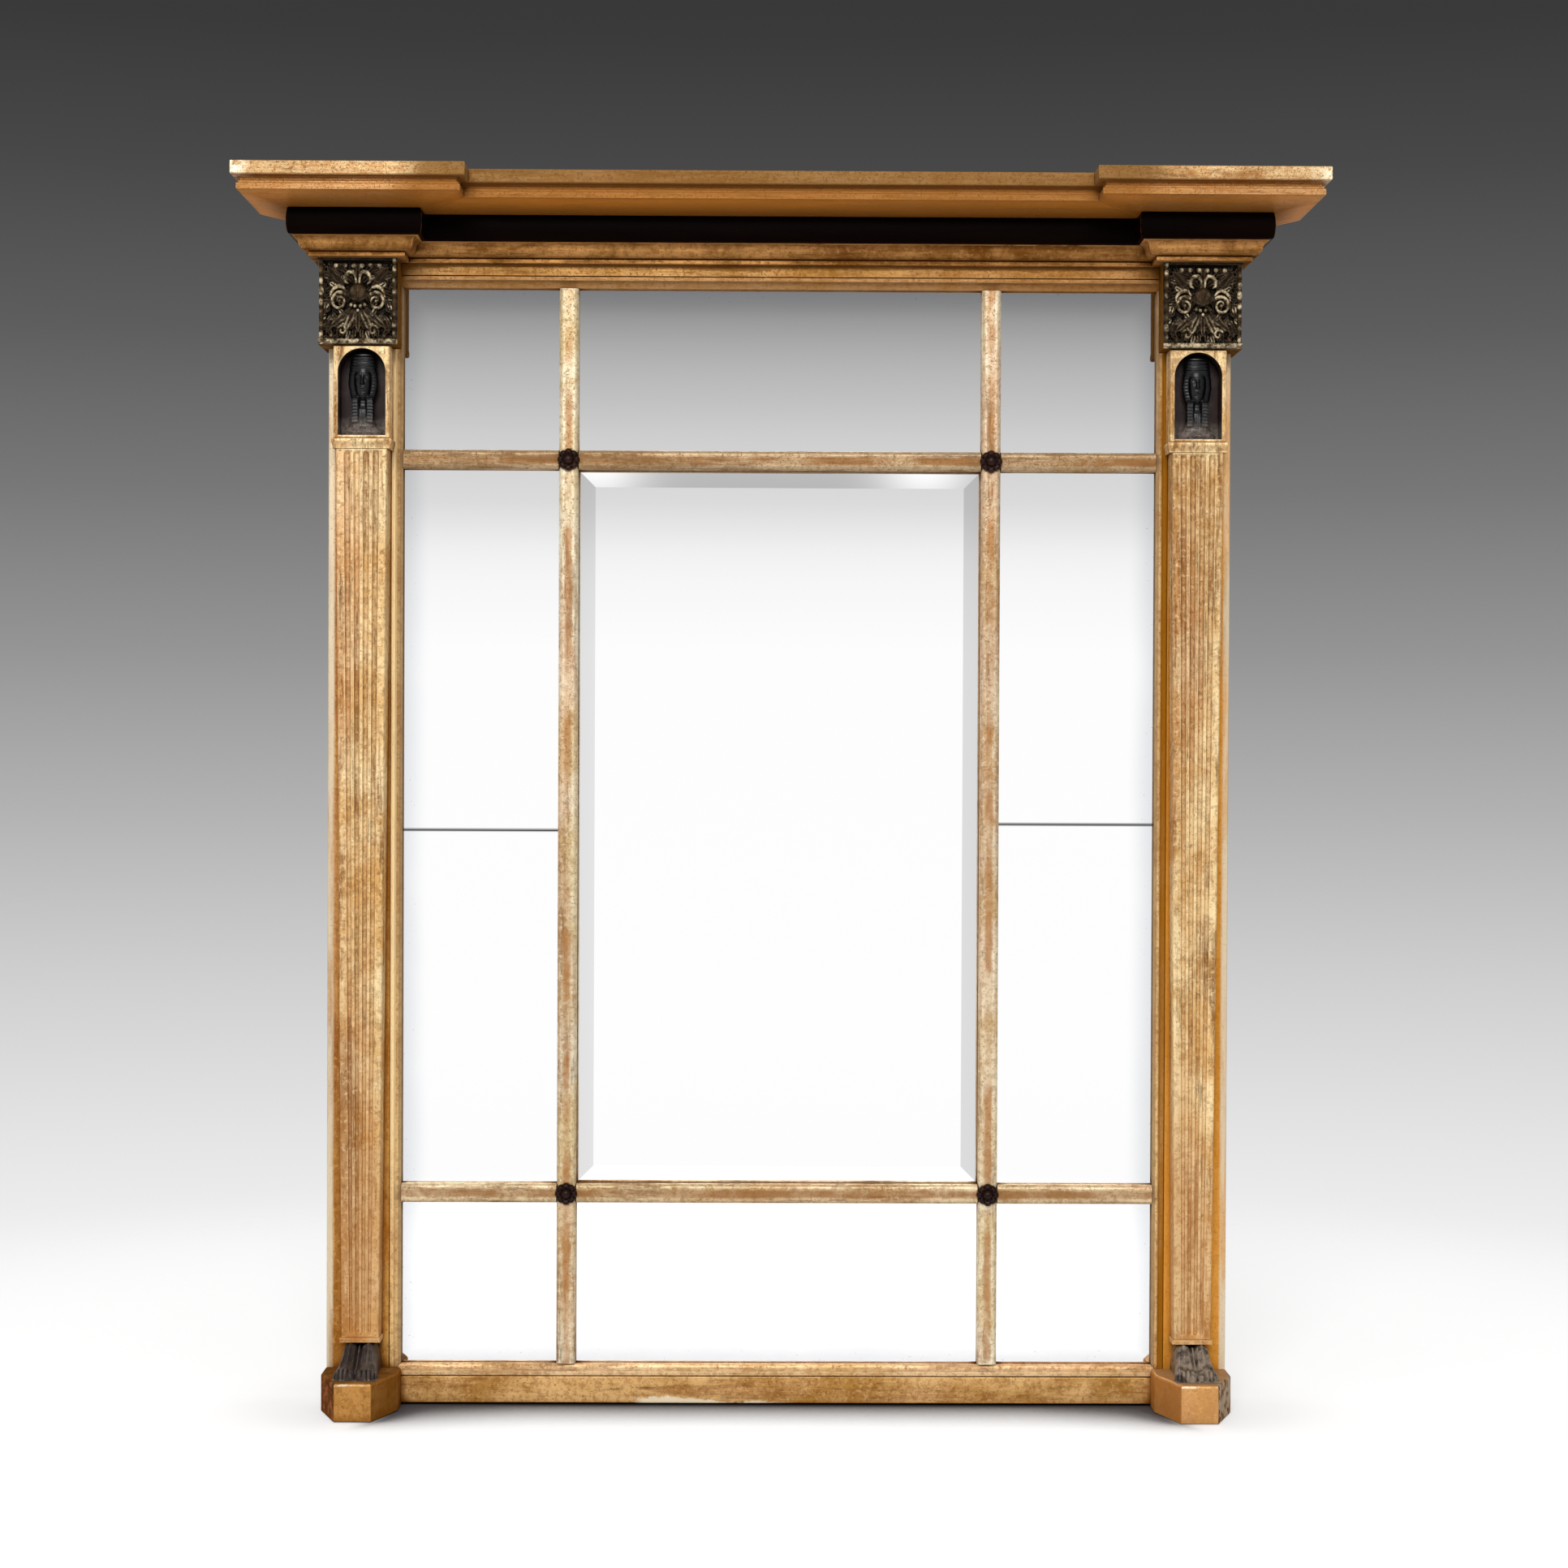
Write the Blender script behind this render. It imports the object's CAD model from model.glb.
"""Looks for a giltwood and ebonised overmantel mirror with herm pilasters.

Everything is in metres, +Z up, with the front facing -Y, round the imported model's own nodes.
The moulded, carved and fluted pieces are modelled here in place of their plain solids. The flat
boards and the glass keep their solids, and get eased edges and their finish.
"""

import math

import bpy
import numpy as np
from mathutils import Matrix, Vector, noise


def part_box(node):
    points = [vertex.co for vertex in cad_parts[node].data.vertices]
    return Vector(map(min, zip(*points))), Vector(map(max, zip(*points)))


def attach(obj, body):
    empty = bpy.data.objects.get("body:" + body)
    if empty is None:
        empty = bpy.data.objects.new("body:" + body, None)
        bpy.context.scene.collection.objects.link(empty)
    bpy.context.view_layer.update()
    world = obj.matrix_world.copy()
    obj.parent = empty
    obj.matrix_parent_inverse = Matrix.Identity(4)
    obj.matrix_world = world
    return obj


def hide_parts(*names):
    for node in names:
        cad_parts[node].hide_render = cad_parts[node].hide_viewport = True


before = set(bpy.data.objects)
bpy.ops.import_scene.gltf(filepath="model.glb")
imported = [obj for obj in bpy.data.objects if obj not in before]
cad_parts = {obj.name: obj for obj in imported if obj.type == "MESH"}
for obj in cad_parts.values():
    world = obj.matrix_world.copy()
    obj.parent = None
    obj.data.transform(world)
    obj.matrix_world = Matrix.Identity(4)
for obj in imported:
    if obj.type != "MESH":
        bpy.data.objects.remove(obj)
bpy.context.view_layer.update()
BODY = "mirror"

# ---------------------------------------------------------------- sizes, in metres

MM = 0.001
FIT = 0.3 * MM

# camera, found from the places of the cornice, capitals, bosses and plinths in the photograph
IMAGE_WIDTH = 1932
FOCAL_PIXELS = 3568.8
SENSOR_WIDTH = 36.0
CAMERA_PLACE = (-0.0168, -2.573, 0.5873)
CAMERA_PITCH = -0.0109
CAMERA_YAW = -0.0083
CAMERA_ROLL = -0.0042

# mouldings over the pilasters, each projection from the face that carries it
SLAB_PROJECTION = 66 * MM
SLAB_HEIGHT = 12 * MM
FASCIA_HEIGHT = 6.6 * MM
FASCIA_PROJECTION = 58.5 * MM
FILLET_HEIGHT = 5.3 * MM
FILLET_PROJECTION = 61.5 * MM
FRIEZE_PROJECTION = 22.5 * MM
FRIEZE_CUSHION = 2.2 * MM
SOFFIT_FLATNESS = 1.9
BED_TOP_PROJECTION = 21 * MM
BED_NECK_PROJECTION = 9.5 * MM
BED_FILLET_PROJECTION = 7.5 * MM
BED_FILLET_HEIGHT = 4 * MM
CORNICE_HEIGHT = 32 * MM
FRIEZE_HEIGHT = 23.5 * MM

# sight slip, bars and glass
SLIP_WIDTH = 10 * MM
SLIP_HOLLOW = 6 * MM
BAR_WIDTH = 17.5 * MM
BAR_FLAT = 9 * MM
BAR_TONGUE = 5 * MM

# herm pilasters
NICHE_WIDTH = 42 * MM
NICHE_DEPTH = 20 * MM
NICHE_SILL = 3 * MM
NICHE_TOP_WALL = 2.5 * MM
LEDGE_HEIGHT = 9 * MM
LEDGE_PROJECTION = 1.8 * MM
SHAFT_TOP_WIDTH = 45.5 * MM
SHAFT_FOOT_WIDTH = 33 * MM
SHAFT_FOOT_SET_BACK = 5 * MM
FLUTE_COUNT = 4
FLUTE_DEPTH = 2.4 * MM
FLUTE_MARGIN = 7 * MM
FLUTE_LAND = 2.6 * MM
FLUTE_STOP = 5 * MM
HEM_HEIGHT = 5 * MM
HEM_PROJECTION = 1.6 * MM
PANEL_BORDER = 5 * MM
PANEL_SINK = 5 * MM

# hangers and nails
STRAP_THICKNESS = 2 * MM
HINGE_SET_DOWN = 2 * MM
SCREW_SPACING = 22 * MM
NAIL_RADIUS = 1.9 * MM

# herms: a reach in millimetres, counts, and the lappets' foot and top as shares of the bust's height
BUST_BACK_REACH = 8.4
KERCHIEF_STRIPES = 26
LAPPET_SPAN = (0.13, 0.48)
ARCH_POINTS = 96

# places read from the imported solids
STILE_LOW, STILE_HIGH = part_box("stile_right")
FACE, BACK = STILE_LOW.y, STILE_HIGH.y
STILE_INNER, STILE_OUTER = STILE_LOW.x, STILE_HIGH.x
CARCASS_TOP = STILE_HIGH.z
CAPITAL_LOW, CAPITAL_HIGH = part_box("capital_right")
CAPITAL_INNER, CAPITAL_OUTER = CAPITAL_LOW.x, CAPITAL_HIGH.x
CAPITAL_FACE, RETURN_BACK = CAPITAL_LOW.y, CAPITAL_HIGH.y
CAPITAL_FOOT, BED_FOOT = CAPITAL_LOW.z, CAPITAL_HIGH.z
CORNICE_TOP = CARCASS_TOP + SLAB_HEIGHT
CORNICE_FOOT = CORNICE_TOP - CORNICE_HEIGHT
FRIEZE_FOOT = CORNICE_FOOT - FRIEZE_HEIGHT
SLIP_LOW, SLIP_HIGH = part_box("slip_right")
SIGHT_X = SLIP_LOW.x
SIGHT_FOOT = SLIP_LOW.z + SLIP_WIDTH - FIT
SIGHT_TOP = SLIP_HIGH.z - SLIP_WIDTH + FIT
GLASS_PLANE = SLIP_HIGH.y
GLASS_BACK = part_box("glass_top_centre")[1].y
BAR_LOW, BAR_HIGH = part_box("bar_vertical_right")
BAR_X = (BAR_LOW.x + BAR_HIGH.x) / 2
BAR_FRONT = BAR_LOW.y
ROWS = {row: sum(corner.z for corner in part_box(f"bar_horizontal_{row}")) / 2 for row in ("lower", "upper")}
NICHE_BLOCK_LOW, NICHE_BLOCK_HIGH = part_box("niche_block_right")
PILASTER_X = (NICHE_BLOCK_LOW.x + NICHE_BLOCK_HIGH.x) / 2
LEDGE_FOOT = NICHE_BLOCK_LOW.z
NICHE_BLOCK_FOOT = LEDGE_FOOT + LEDGE_HEIGHT
NICHE_FOOT = NICHE_BLOCK_FOOT + NICHE_SILL
SHAFT_FACE = NICHE_BLOCK_LOW.y + LEDGE_PROJECTION
NICHE_BACK = SHAFT_FACE + NICHE_DEPTH
NICHE_HALF = 25 * MM
FEET_LOW, FEET_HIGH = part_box("herm_feet_right")
PLINTH_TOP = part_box("plinth_right")[1].z
HEM_FOOT = FEET_HIGH.z


# ---------------------------------------------------------------- mesh helpers


def make_piece(name, shape, finish, replaced=(), body=BODY, crease=38, painted=None):
    """One closed piece from its corners and faces, shaded smooth except at true arrises."""
    corners, faces = shape
    mesh = bpy.data.meshes.new(name)
    mesh.from_pydata([tuple(map(float, corner)) for corner in corners], [], faces)
    finishes = finish if isinstance(finish, (list, tuple)) else [finish]
    for material in finishes:
        mesh.materials.append(material)
    if painted is not None:
        mesh.polygons.foreach_set("material_index", np.array(painted, np.int32))
    mesh.update()
    if signed_volume(mesh) < 0:
        mesh.flip_normals()
    mesh.shade_smooth()
    mesh.set_sharp_from_angle(angle=math.radians(crease))
    piece = bpy.data.objects.new(name, mesh)
    bpy.context.scene.collection.objects.link(piece)
    weigh_normals(piece)
    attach(piece, body)
    if replaced:
        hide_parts(*replaced)
    return piece


def signed_volume(mesh):
    mesh.calc_loop_triangles()
    count = len(mesh.loop_triangles)
    corners = np.zeros(len(mesh.vertices) * 3)
    mesh.vertices.foreach_get("co", corners)
    corners = corners.reshape(-1, 3)
    index = np.zeros(count * 3, np.int32)
    mesh.loop_triangles.foreach_get("vertices", index)
    a, b, c = (corners[index.reshape(-1, 3)[:, k]] for k in range(3))
    return float(np.einsum("ij,ij->i", a, np.cross(b, c)).sum())


def weigh_normals(piece):
    """Broad flat faces keep flat shading beside their small roundings."""
    weighing = piece.modifiers.new("even_faces", "WEIGHTED_NORMAL")
    weighing.keep_sharp = True


def skin(loops, capped=True, closed=False):
    """Corners and faces of rings with the same number of points, skinned one to the next."""
    size = len(loops[0])
    corners = [point for loop in loops for point in loop]
    faces = []
    stops = len(loops) if closed else len(loops) - 1
    for ring in range(stops):
        here = ring * size
        there = ((ring + 1) % len(loops)) * size
        for i in range(size):
            j = (i + 1) % size
            faces.append((here + i, here + j, there + j, there + i))
    if capped:
        last = (len(loops) - 1) * size
        faces.append(tuple(range(size - 1, -1, -1)))
        faces.append(tuple(range(last, last + size)))
    return corners, faces


def several(parts):
    """Joins the corners and faces of bodies that make up one piece."""
    corners, faces = [], []
    for part_corners, part_faces in parts:
        start = len(corners)
        corners.extend(part_corners)
        faces.extend(tuple(start + i for i in face) for face in part_faces)
    return corners, faces


def mirror_over(corners):
    return [(-x, y, z) for x, y, z in corners]


def both_sides(stem, shape, finish, crease=38, painted=None, with_nodes=None):
    """The right-hand piece and its mirror image, each in place of its own solid."""
    corners, faces = shape
    for side, places in (("right", corners), ("left", mirror_over(corners))):
        nodes = [f"{node}_{side}" for node in (with_nodes or [stem])]
        make_piece(
            f"{stem}_{side}_shaped", (places, faces), finish, nodes, crease=crease, painted=painted
        )


def arc(centre, reach_x, reach_y, start, end, steps):
    angles = np.linspace(start, end, steps + 1)
    return [(centre[0] + reach_x * math.cos(a), centre[1] + reach_y * math.sin(a)) for a in angles]


def eased(outline, radius, steps=3, least_turn=25):
    """A closed outline with its sharp corners rounded, as handling and gesso leave them."""
    points = [Vector(p) for p in outline]
    rounded = []
    for i, corner in enumerate(points):
        before = points[i - 1]
        after = points[(i + 1) % len(points)]
        into, out = (corner - before), (after - corner)
        turn = into.angle(out) if into.length and out.length else 0
        if math.degrees(turn) < least_turn:
            rounded.append(corner)
            continue
        cut = min(radius * math.tan(turn / 2), 0.42 * into.length, 0.42 * out.length)
        first = corner - into.normalized() * cut
        last = corner + out.normalized() * cut
        for step in range(steps + 1):
            t = step / steps
            rounded.append(first.lerp(corner, t).lerp(corner.lerp(last, t), t))
    return [(p.x, p.y) for p in rounded]


def stretches(start, end, longest):
    """Even stops from start to end, no further apart than longest."""
    count = max(1, math.ceil(abs(end - start) / longest))
    return [start + (end - start) * i / count for i in range(count + 1)]


def hand_wobble(place, seed, amount):
    """A slow, small unevenness of planed and gessoed wood, always into the wood."""
    return amount * 0.5 * (1 + noise.noise(Vector(place) * 14 + Vector((seed, 0, 0))))


def mitred_run(profile, stops, longest=16 * MM, wobble=0.35 * MM, seed=0):
    """A moulding run along stops in plan, mitred where it turns."""
    rings = []
    for number, ((start, out_start), (end, out_end)) in enumerate(zip(stops, stops[1:])):
        start, end = Vector(start), Vector(end)
        out_start, out_end = Vector(out_start), Vector(out_end)
        count = max(1, math.ceil((end - start).length / longest))
        for step in range(0 if number == 0 else 1, count + 1):
            t = step / count
            place, out = start.lerp(end, t), out_start.lerp(out_end, t)
            sink = hand_wobble((place.x, place.y, number), seed, wobble)
            ring = []
            for reach, height in profile:
                kept = max(reach - sink, FIT) if reach > 2 * FIT else reach
                ring.append((place.x + out.x * kept, place.y + out.y * kept, height))
            rings.append(ring)
    return skin(rings)


def layered(outlines):
    """Outlines in plan at rising heights, skinned into a block."""
    return skin([[(x, y, z) for x, y in outline] for outline, z in outlines])


def relief_block(front, back):
    """A block whose front is a grid of corners, rows by columns, and whose back depends on x alone."""
    rows, columns = front.shape[:2]
    corners = [tuple(p) for p in front.reshape(-1, 3)]
    at = lambda row, column: row * columns + column
    faces = []
    for row in range(rows - 1):
        for column in range(columns - 1):
            faces.append((at(row, column), at(row, column + 1), at(row + 1, column + 1), at(row + 1, column)))
    rim = [(0, c) for c in range(columns)]
    rim += [(r, columns - 1) for r in range(1, rows)]
    rim += [(rows - 1, c) for c in range(columns - 2, -1, -1)]
    rim += [(r, 0) for r in range(rows - 2, 0, -1)]
    behind = {}
    for row, column in rim:
        behind[(row, column)] = len(corners)
        x, _, z = front[row, column]
        corners.append((x, back(column), z))
    for here, there in zip(rim, rim[1:] + rim[:1]):
        faces.append((at(*there), at(*here), behind[here], behind[there]))
    foot = [behind[(0, c)] for c in range(columns)]
    top = [behind[(rows - 1, c)] for c in range(columns)]
    left = [behind[(r, 0)] for r in range(rows - 2, 0, -1)]
    right = [behind[(r, columns - 1)] for r in range(1, rows - 1)]
    faces.append((foot[1], foot[0], *left[::-1], top[0], top[1]))
    for c in range(1, columns - 2):
        faces.append((foot[c + 1], foot[c], top[c], top[c + 1]))
    faces.append((foot[-1], foot[-2], top[-2], top[-1], *right[::-1]))
    return corners, faces


# ---------------------------------------------------------------- finishes


def add_node(tree, kind, inputs=None, **settings):
    """A shader node with its settings, and its sockets set or linked by name or number."""
    node = tree.nodes.new(kind)
    for key, value in settings.items():
        setattr(node, key, value)
    for key, value in (inputs or {}).items():
        if isinstance(value, bpy.types.NodeSocket):
            tree.links.new(value, node.inputs[key])
        else:
            node.inputs[key].default_value = value
    return node


def tree_of(*values):
    """The node tree that the first socket among some values is in."""
    return next(value.id_data for value in values if isinstance(value, bpy.types.NodeSocket))


def maths(operation, a, b=0.0, c=0.0, clamp=False):
    inputs = {0: a, 1: b, 2: c}
    return add_node(
        tree_of(a, b, c), "ShaderNodeMath", inputs, operation=operation, use_clamp=clamp
    ).outputs[0]


def times(a, b, clamp=False):
    return maths("MULTIPLY", a, b, clamp=clamp)


def unsigned(value):
    return maths("ABSOLUTE", value)


def ramped(value, low, high, foot=0.0, top=1.0):
    """A value spread smoothly from foot to top between low and high."""
    inputs = {"Value": value, "From Min": low, "From Max": high, "To Min": foot, "To Max": top}
    return add_node(tree_of(value), "ShaderNodeMapRange", inputs, interpolation_type="SMOOTHSTEP").outputs[0]


def mixed(share, first, second):
    """Two colours mixed."""
    inputs = {0: share, 6: first, 7: second}
    return add_node(tree_of(share, first, second), "ShaderNodeMix", inputs, data_type="RGBA").outputs[2]


def clouds(place, scale, detail=3.0, roughness=0.55, distortion=0.0):
    inputs = {
        "Vector": place, "Scale": scale, "Detail": detail, "Roughness": roughness, "Distortion": distortion
    }
    return add_node(tree_of(place), "ShaderNodeTexNoise", inputs).outputs["Fac"]


def patches(place, scale, detail, roughness, low, high, foot=0.0, top=1.0):
    """Noise sharpened into patches: foot below low, and top above high."""
    return ramped(clouds(place, scale, detail, roughness), low, high, foot, top)


def srgb(red, green, blue):
    """A colour written as it looks on screen, 0 to 255, as linear light."""
    share = [channel / 255 for channel in (red, green, blue)]
    linear = [c / 12.92 if c <= 0.04045 else ((c + 0.055) / 1.055) ** 2.4 for c in share]
    return (*linear, 1.0)


SOCKET_KINDS = {"colour": "NodeSocketColor", "number": "NodeSocketFloat", "place": "NodeSocketVector"}


def new_group(name, inputs, outputs):
    """An empty shader node group with named inputs and outputs."""
    group = bpy.data.node_groups.new(name, "ShaderNodeTree")
    for label, kind in inputs.items():
        group.interface.new_socket(label, in_out="INPUT", socket_type=SOCKET_KINDS[kind])
    for label, kind in outputs.items():
        group.interface.new_socket(label, in_out="OUTPUT", socket_type=SOCKET_KINDS[kind])
    way_in = group.nodes.new("NodeGroupInput")
    way_out = group.nodes.new("NodeGroupOutput")
    return group, way_in.outputs, way_out


def close_group(group, way_out, results):
    for label, socket in results.items():
        group.links.new(socket, way_out.inputs[label])
    return group


def use_group(tree, group, inputs):
    return add_node(tree, "ShaderNodeGroup", inputs, node_tree=group).outputs


def edges_and_hollows():
    """Finds rubbed arrises and the hollows where dirt gathers."""
    inputs = {"Edge width": "number", "Hollow reach": "number"}
    group, given, way_out = new_group("edges_and_hollows", inputs, {"Ridge": "number", "Hollow": "number"})
    rounded = add_node(group, "ShaderNodeBevel", {"Radius": given["Edge width"]}, samples=6).outputs[0]
    flat = add_node(group, "ShaderNodeNewGeometry").outputs["Normal"]
    product = add_node(group, "ShaderNodeVectorMath", {0: rounded, 1: flat}, operation="DOT_PRODUCT")
    turned = ramped(product.outputs["Value"], 0.995, 0.86)
    open_air = add_node(group, "ShaderNodeAmbientOcclusion", {"Distance": given["Hollow reach"]}, samples=8)
    hollow = ramped(open_air.outputs["AO"], 0.82, 0.18)
    shown = ramped(open_air.outputs["AO"], 0.55, 0.9)
    ridge = times(turned, shown)
    return close_group(group, way_out, {"Ridge": ridge, "Hollow": hollow})


def worn_gilding():
    """Old gold over ochre and gesso: cloudy tone, rubbed streaks along the run, dirt and pale arrises."""
    places = {label: "place" for label in ("Place", "Run place")}
    numbers = {label: "number" for label in ("Ridge", "Hollow", "Streaks", "Wear")}
    colours = {label: "colour" for label in ("Pale", "Gold", "Deep", "Dirt")}
    outputs = {"Color": "colour", "Roughness": "number", "Metallic": "number", "Height": "number"}
    group, given, way_out = new_group("worn_gilding", {**places, **numbers, **colours}, outputs)
    place, run, pale, deep, dirt = (given[label] for label in ("Place", "Run place", "Pale", "Deep", "Dirt"))
    colour = mixed(ramped(clouds(place, 13, 5, 0.62, 0.5), 0.36, 0.62), given["Gold"], pale)
    layers = {}
    # coordinates, noise, its low and high, the share laid on, colour, and whether Streaks rules it
    for label, where, texture, low, high, share, tint, streaky in (
        ("rose", run, (19, 4, 0.6, 0.3), 0.5, 0.64, 0.45, ROSE, False),
        ("drift", run, (6, 5, 0.66), 0.5, 0.68, 0.6, deep, False),
        ("streak", run, (70, 5, 0.74), 0.5, 0.64, 0.7, deep, True),
        ("line", run, (160, 6, 0.76), 0.55, 0.66, 0.6, dirt, True),
        ("bright", run, (105, 5, 0.72), 0.55, 0.66, 0.6, pale, False),
        ("worn", place, (170, 5, 0.68), 0.47, 0.6, 0.38, deep, False),
        ("lit", place, (230, 4, 0.66), 0.53, 0.64, 0.42, pale, False),
        ("speck", place, (480, 3, 0.6), 0.57, 0.68, 0.5, deep, False),
    ):
        layer = ramped(clouds(where, *texture), low, high)
        if streaky:
            layer = times(layer, given["Streaks"], clamp=True)
        colour = mixed(times(layer, share), colour, tint)
        layers[label] = layer
    hollow = given["Hollow"]
    colour = mixed(ramped(hollow, 0.05, 0.6, 0, 0.95), colour, deep)
    colour = mixed(ramped(hollow, 0.45, 1, 0, 0.8), colour, dirt)
    patchy = patches(place, 60, 4, 0.6, 0.34, 0.58)
    rubbed = times(times(given["Ridge"], patchy), given["Wear"], clamp=True)
    colour = mixed(rubbed, colour, pale)
    dull = maths("MAXIMUM", hollow, maths("MAXIMUM", layers["line"], layers["streak"]))
    roughness = ramped(dull, 0, 1, 0.42, 0.7)
    metallic = ramped(maths("MAXIMUM", dull, rubbed), 0, 1, 0.4, 0.05)
    grain, pits = clouds(run, 210, 4, 0.6), clouds(place, 800, 2, 0.5)
    height = maths("MULTIPLY_ADD", layers["speck"], -0.5, maths("MULTIPLY_ADD", pits, 0.35, grain))
    results = {"Color": colour, "Roughness": roughness, "Metallic": metallic, "Height": height}
    return close_group(group, way_out, results)


def bare_wood():
    """Old softwood: growth rings cut along the board, with dust and handling."""
    inputs = {"Run place": "place", "Light": "colour", "Dark": "colour"}
    outputs = {"Color": "colour", "Roughness": "number", "Height": "number"}
    group, given, way_out = new_group("bare_wood", inputs, outputs)
    run = given["Run place"]
    bend = clouds(run, 4, 3, 0.5)
    bent = add_node(group, "ShaderNodeVectorMath", {0: run, 1: bend}, operation="ADD").outputs[0]
    rings = add_node(
        group,
        "ShaderNodeTexWave",
        {"Vector": bent, "Scale": 26, "Distortion": 2.2, "Detail": 4, "Detail Scale": 2.5},
        bands_direction="DIAGONAL",
    ).outputs["Fac"]
    fibre = clouds(run, 160, 5, 0.7)
    tone = maths("MULTIPLY_ADD", rings, 0.34, times(fibre, 0.8))
    colour = mixed(ramped(tone, 0.15, 0.9), given["Dark"], given["Light"])
    dust = patches(run, 9, 4, 0.6, 0.45, 0.75)
    colour = mixed(times(dust, 0.35), colour, given["Dark"])
    roughness = ramped(tone, 0, 1, 0.88, 0.7)
    return close_group(group, way_out, {"Color": colour, "Roughness": roughness, "Height": tone})


def rubbed_dark():
    """A dark painted or bronzed ground, rubbed through to a second colour on what stands proud."""
    inputs = {
        "Place": "place", "Proud": "number", "Hollow": "number", "Ground": "colour", "Bloom": "colour",
        "Rub": "colour",
    }
    outputs = {"Color": "colour", "Roughness": "number", "Height": "number"}
    group, given, way_out = new_group("rubbed_dark", inputs, outputs)
    place = given["Place"]
    bloom = patches(place, 45, 4, 0.6, 0.42, 0.75)
    colour = mixed(times(bloom, 0.6), given["Ground"], given["Bloom"])
    patchy = patches(place, 170, 4, 0.65, 0.36, 0.6)
    rubbed = times(given["Proud"], patchy, clamp=True)
    colour = mixed(rubbed, colour, given["Rub"])
    kept_dark = times(given["Hollow"], 0.8)
    colour = mixed(kept_dark, colour, given["Ground"])
    roughness = ramped(maths("MAXIMUM", rubbed, given["Hollow"]), 0, 1, 0.36, 0.62)
    height = clouds(place, 600, 3, 0.55)
    return close_group(group, way_out, {"Color": colour, "Roughness": roughness, "Height": height})


ROSE = srgb(206, 146, 104)
EDGES = edges_and_hollows()
GILDING = worn_gilding()
WOOD = bare_wood()
DARK = rubbed_dark()


def new_finish(name):
    """A material with its coordinates ready, and its surface shader."""
    material = bpy.data.materials.new(name)
    material.use_nodes = True
    tree = material.node_tree
    shader = tree.nodes["Principled BSDF"]
    place = tree.nodes.new("ShaderNodeTexCoord").outputs["Object"]
    return material, tree, shader, place


def run_place(place, along, stretch=0.09):
    """Coordinates drawn out along the run of the wood, so that noise becomes streaks."""
    scale = [1.0, 1.0, 1.0]
    scale["xyz".index(along)] = stretch
    return add_node(
        tree_of(place), "ShaderNodeVectorMath", {0: place, 1: scale}, operation="MULTIPLY"
    ).outputs[0]


def bump(shader, height, distance, strength=0.6):
    inputs = {"Height": height, "Distance": distance, "Strength": strength}
    feed(shader, Normal=add_node(shader.id_data, "ShaderNodeBump", inputs).outputs[0])


def feed(shader, **values):
    """Sockets linked and constants set, by the names of the shader's inputs."""
    for label, value in values.items():
        socket = shader.inputs[label.replace("_", " ")]
        if isinstance(value, bpy.types.NodeSocket):
            shader.id_data.links.new(value, socket)
        else:
            socket.default_value = value


def axes(place):
    return add_node(tree_of(place), "ShaderNodeSeparateXYZ", {0: place}).outputs


def right_half(place, top=1.0):
    """None on the left half of the mirror, rising over the middle to top on the right half."""
    return ramped(axes(place)["X"], -0.1, 0.1, 0, top)


PALE = srgb(244, 204, 142)
CREAM = srgb(250, 230, 196)
GOLD = srgb(212, 152, 80)
ORANGE_GOLD = srgb(196, 128, 48)
UMBER = srgb(132, 76, 20)
SOOT = srgb(60, 30, 10)
PINE_LIGHT = srgb(186, 146, 96)
PINE_DARK = srgb(122, 84, 48)


def gilding(
    name, along, gold=GOLD, pale=PALE, deep=UMBER, streaks=0.6, wear=1.0, extra=None, wooden_back=False,
    reach=0.014,
):
    """Gilding whose streaks run along one axis. Extra takes (place, colour) and returns a colour."""
    material, tree, shader, place = new_finish(name)
    found = use_group(tree, EDGES, {"Edge width": 0.0022, "Hollow reach": reach})
    run = run_place(place, along)
    given = {"Place": place, "Run place": run, "Ridge": found["Ridge"], "Hollow": found["Hollow"]}
    given |= {"Streaks": streaks, "Wear": wear, "Pale": pale, "Gold": gold, "Deep": deep, "Dirt": SOOT}
    made = use_group(tree, GILDING, given)
    colour, metallic, roughness = made["Color"], made["Metallic"], made["Roughness"]
    if extra:
        colour = extra(place, colour)
    if wooden_back:
        normal = axes(place.node.outputs["Normal"])
        behind = ramped(normal["Y"], 0.6, 0.8)
        wood = use_group(tree, WOOD, {"Run place": run, "Light": PINE_LIGHT, "Dark": PINE_DARK})
        colour = mixed(behind, colour, wood["Color"])
        metallic = times(metallic, maths("SUBTRACT", 1.0, behind))
        roughness = maths("MAXIMUM", roughness, times(behind, 0.8))
    lightness = add_node(tree, "ShaderNodeRGBToBW", {0: colour}).outputs[0]
    metallic = times(metallic, ramped(lightness, 0.06, 0.32))
    feed(shader, Base_Color=colour, Metallic=metallic, Roughness=roughness, Specular_IOR_Level=0.0)
    bump(shader, made["Height"], 0.0005, 0.8)
    return material


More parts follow.
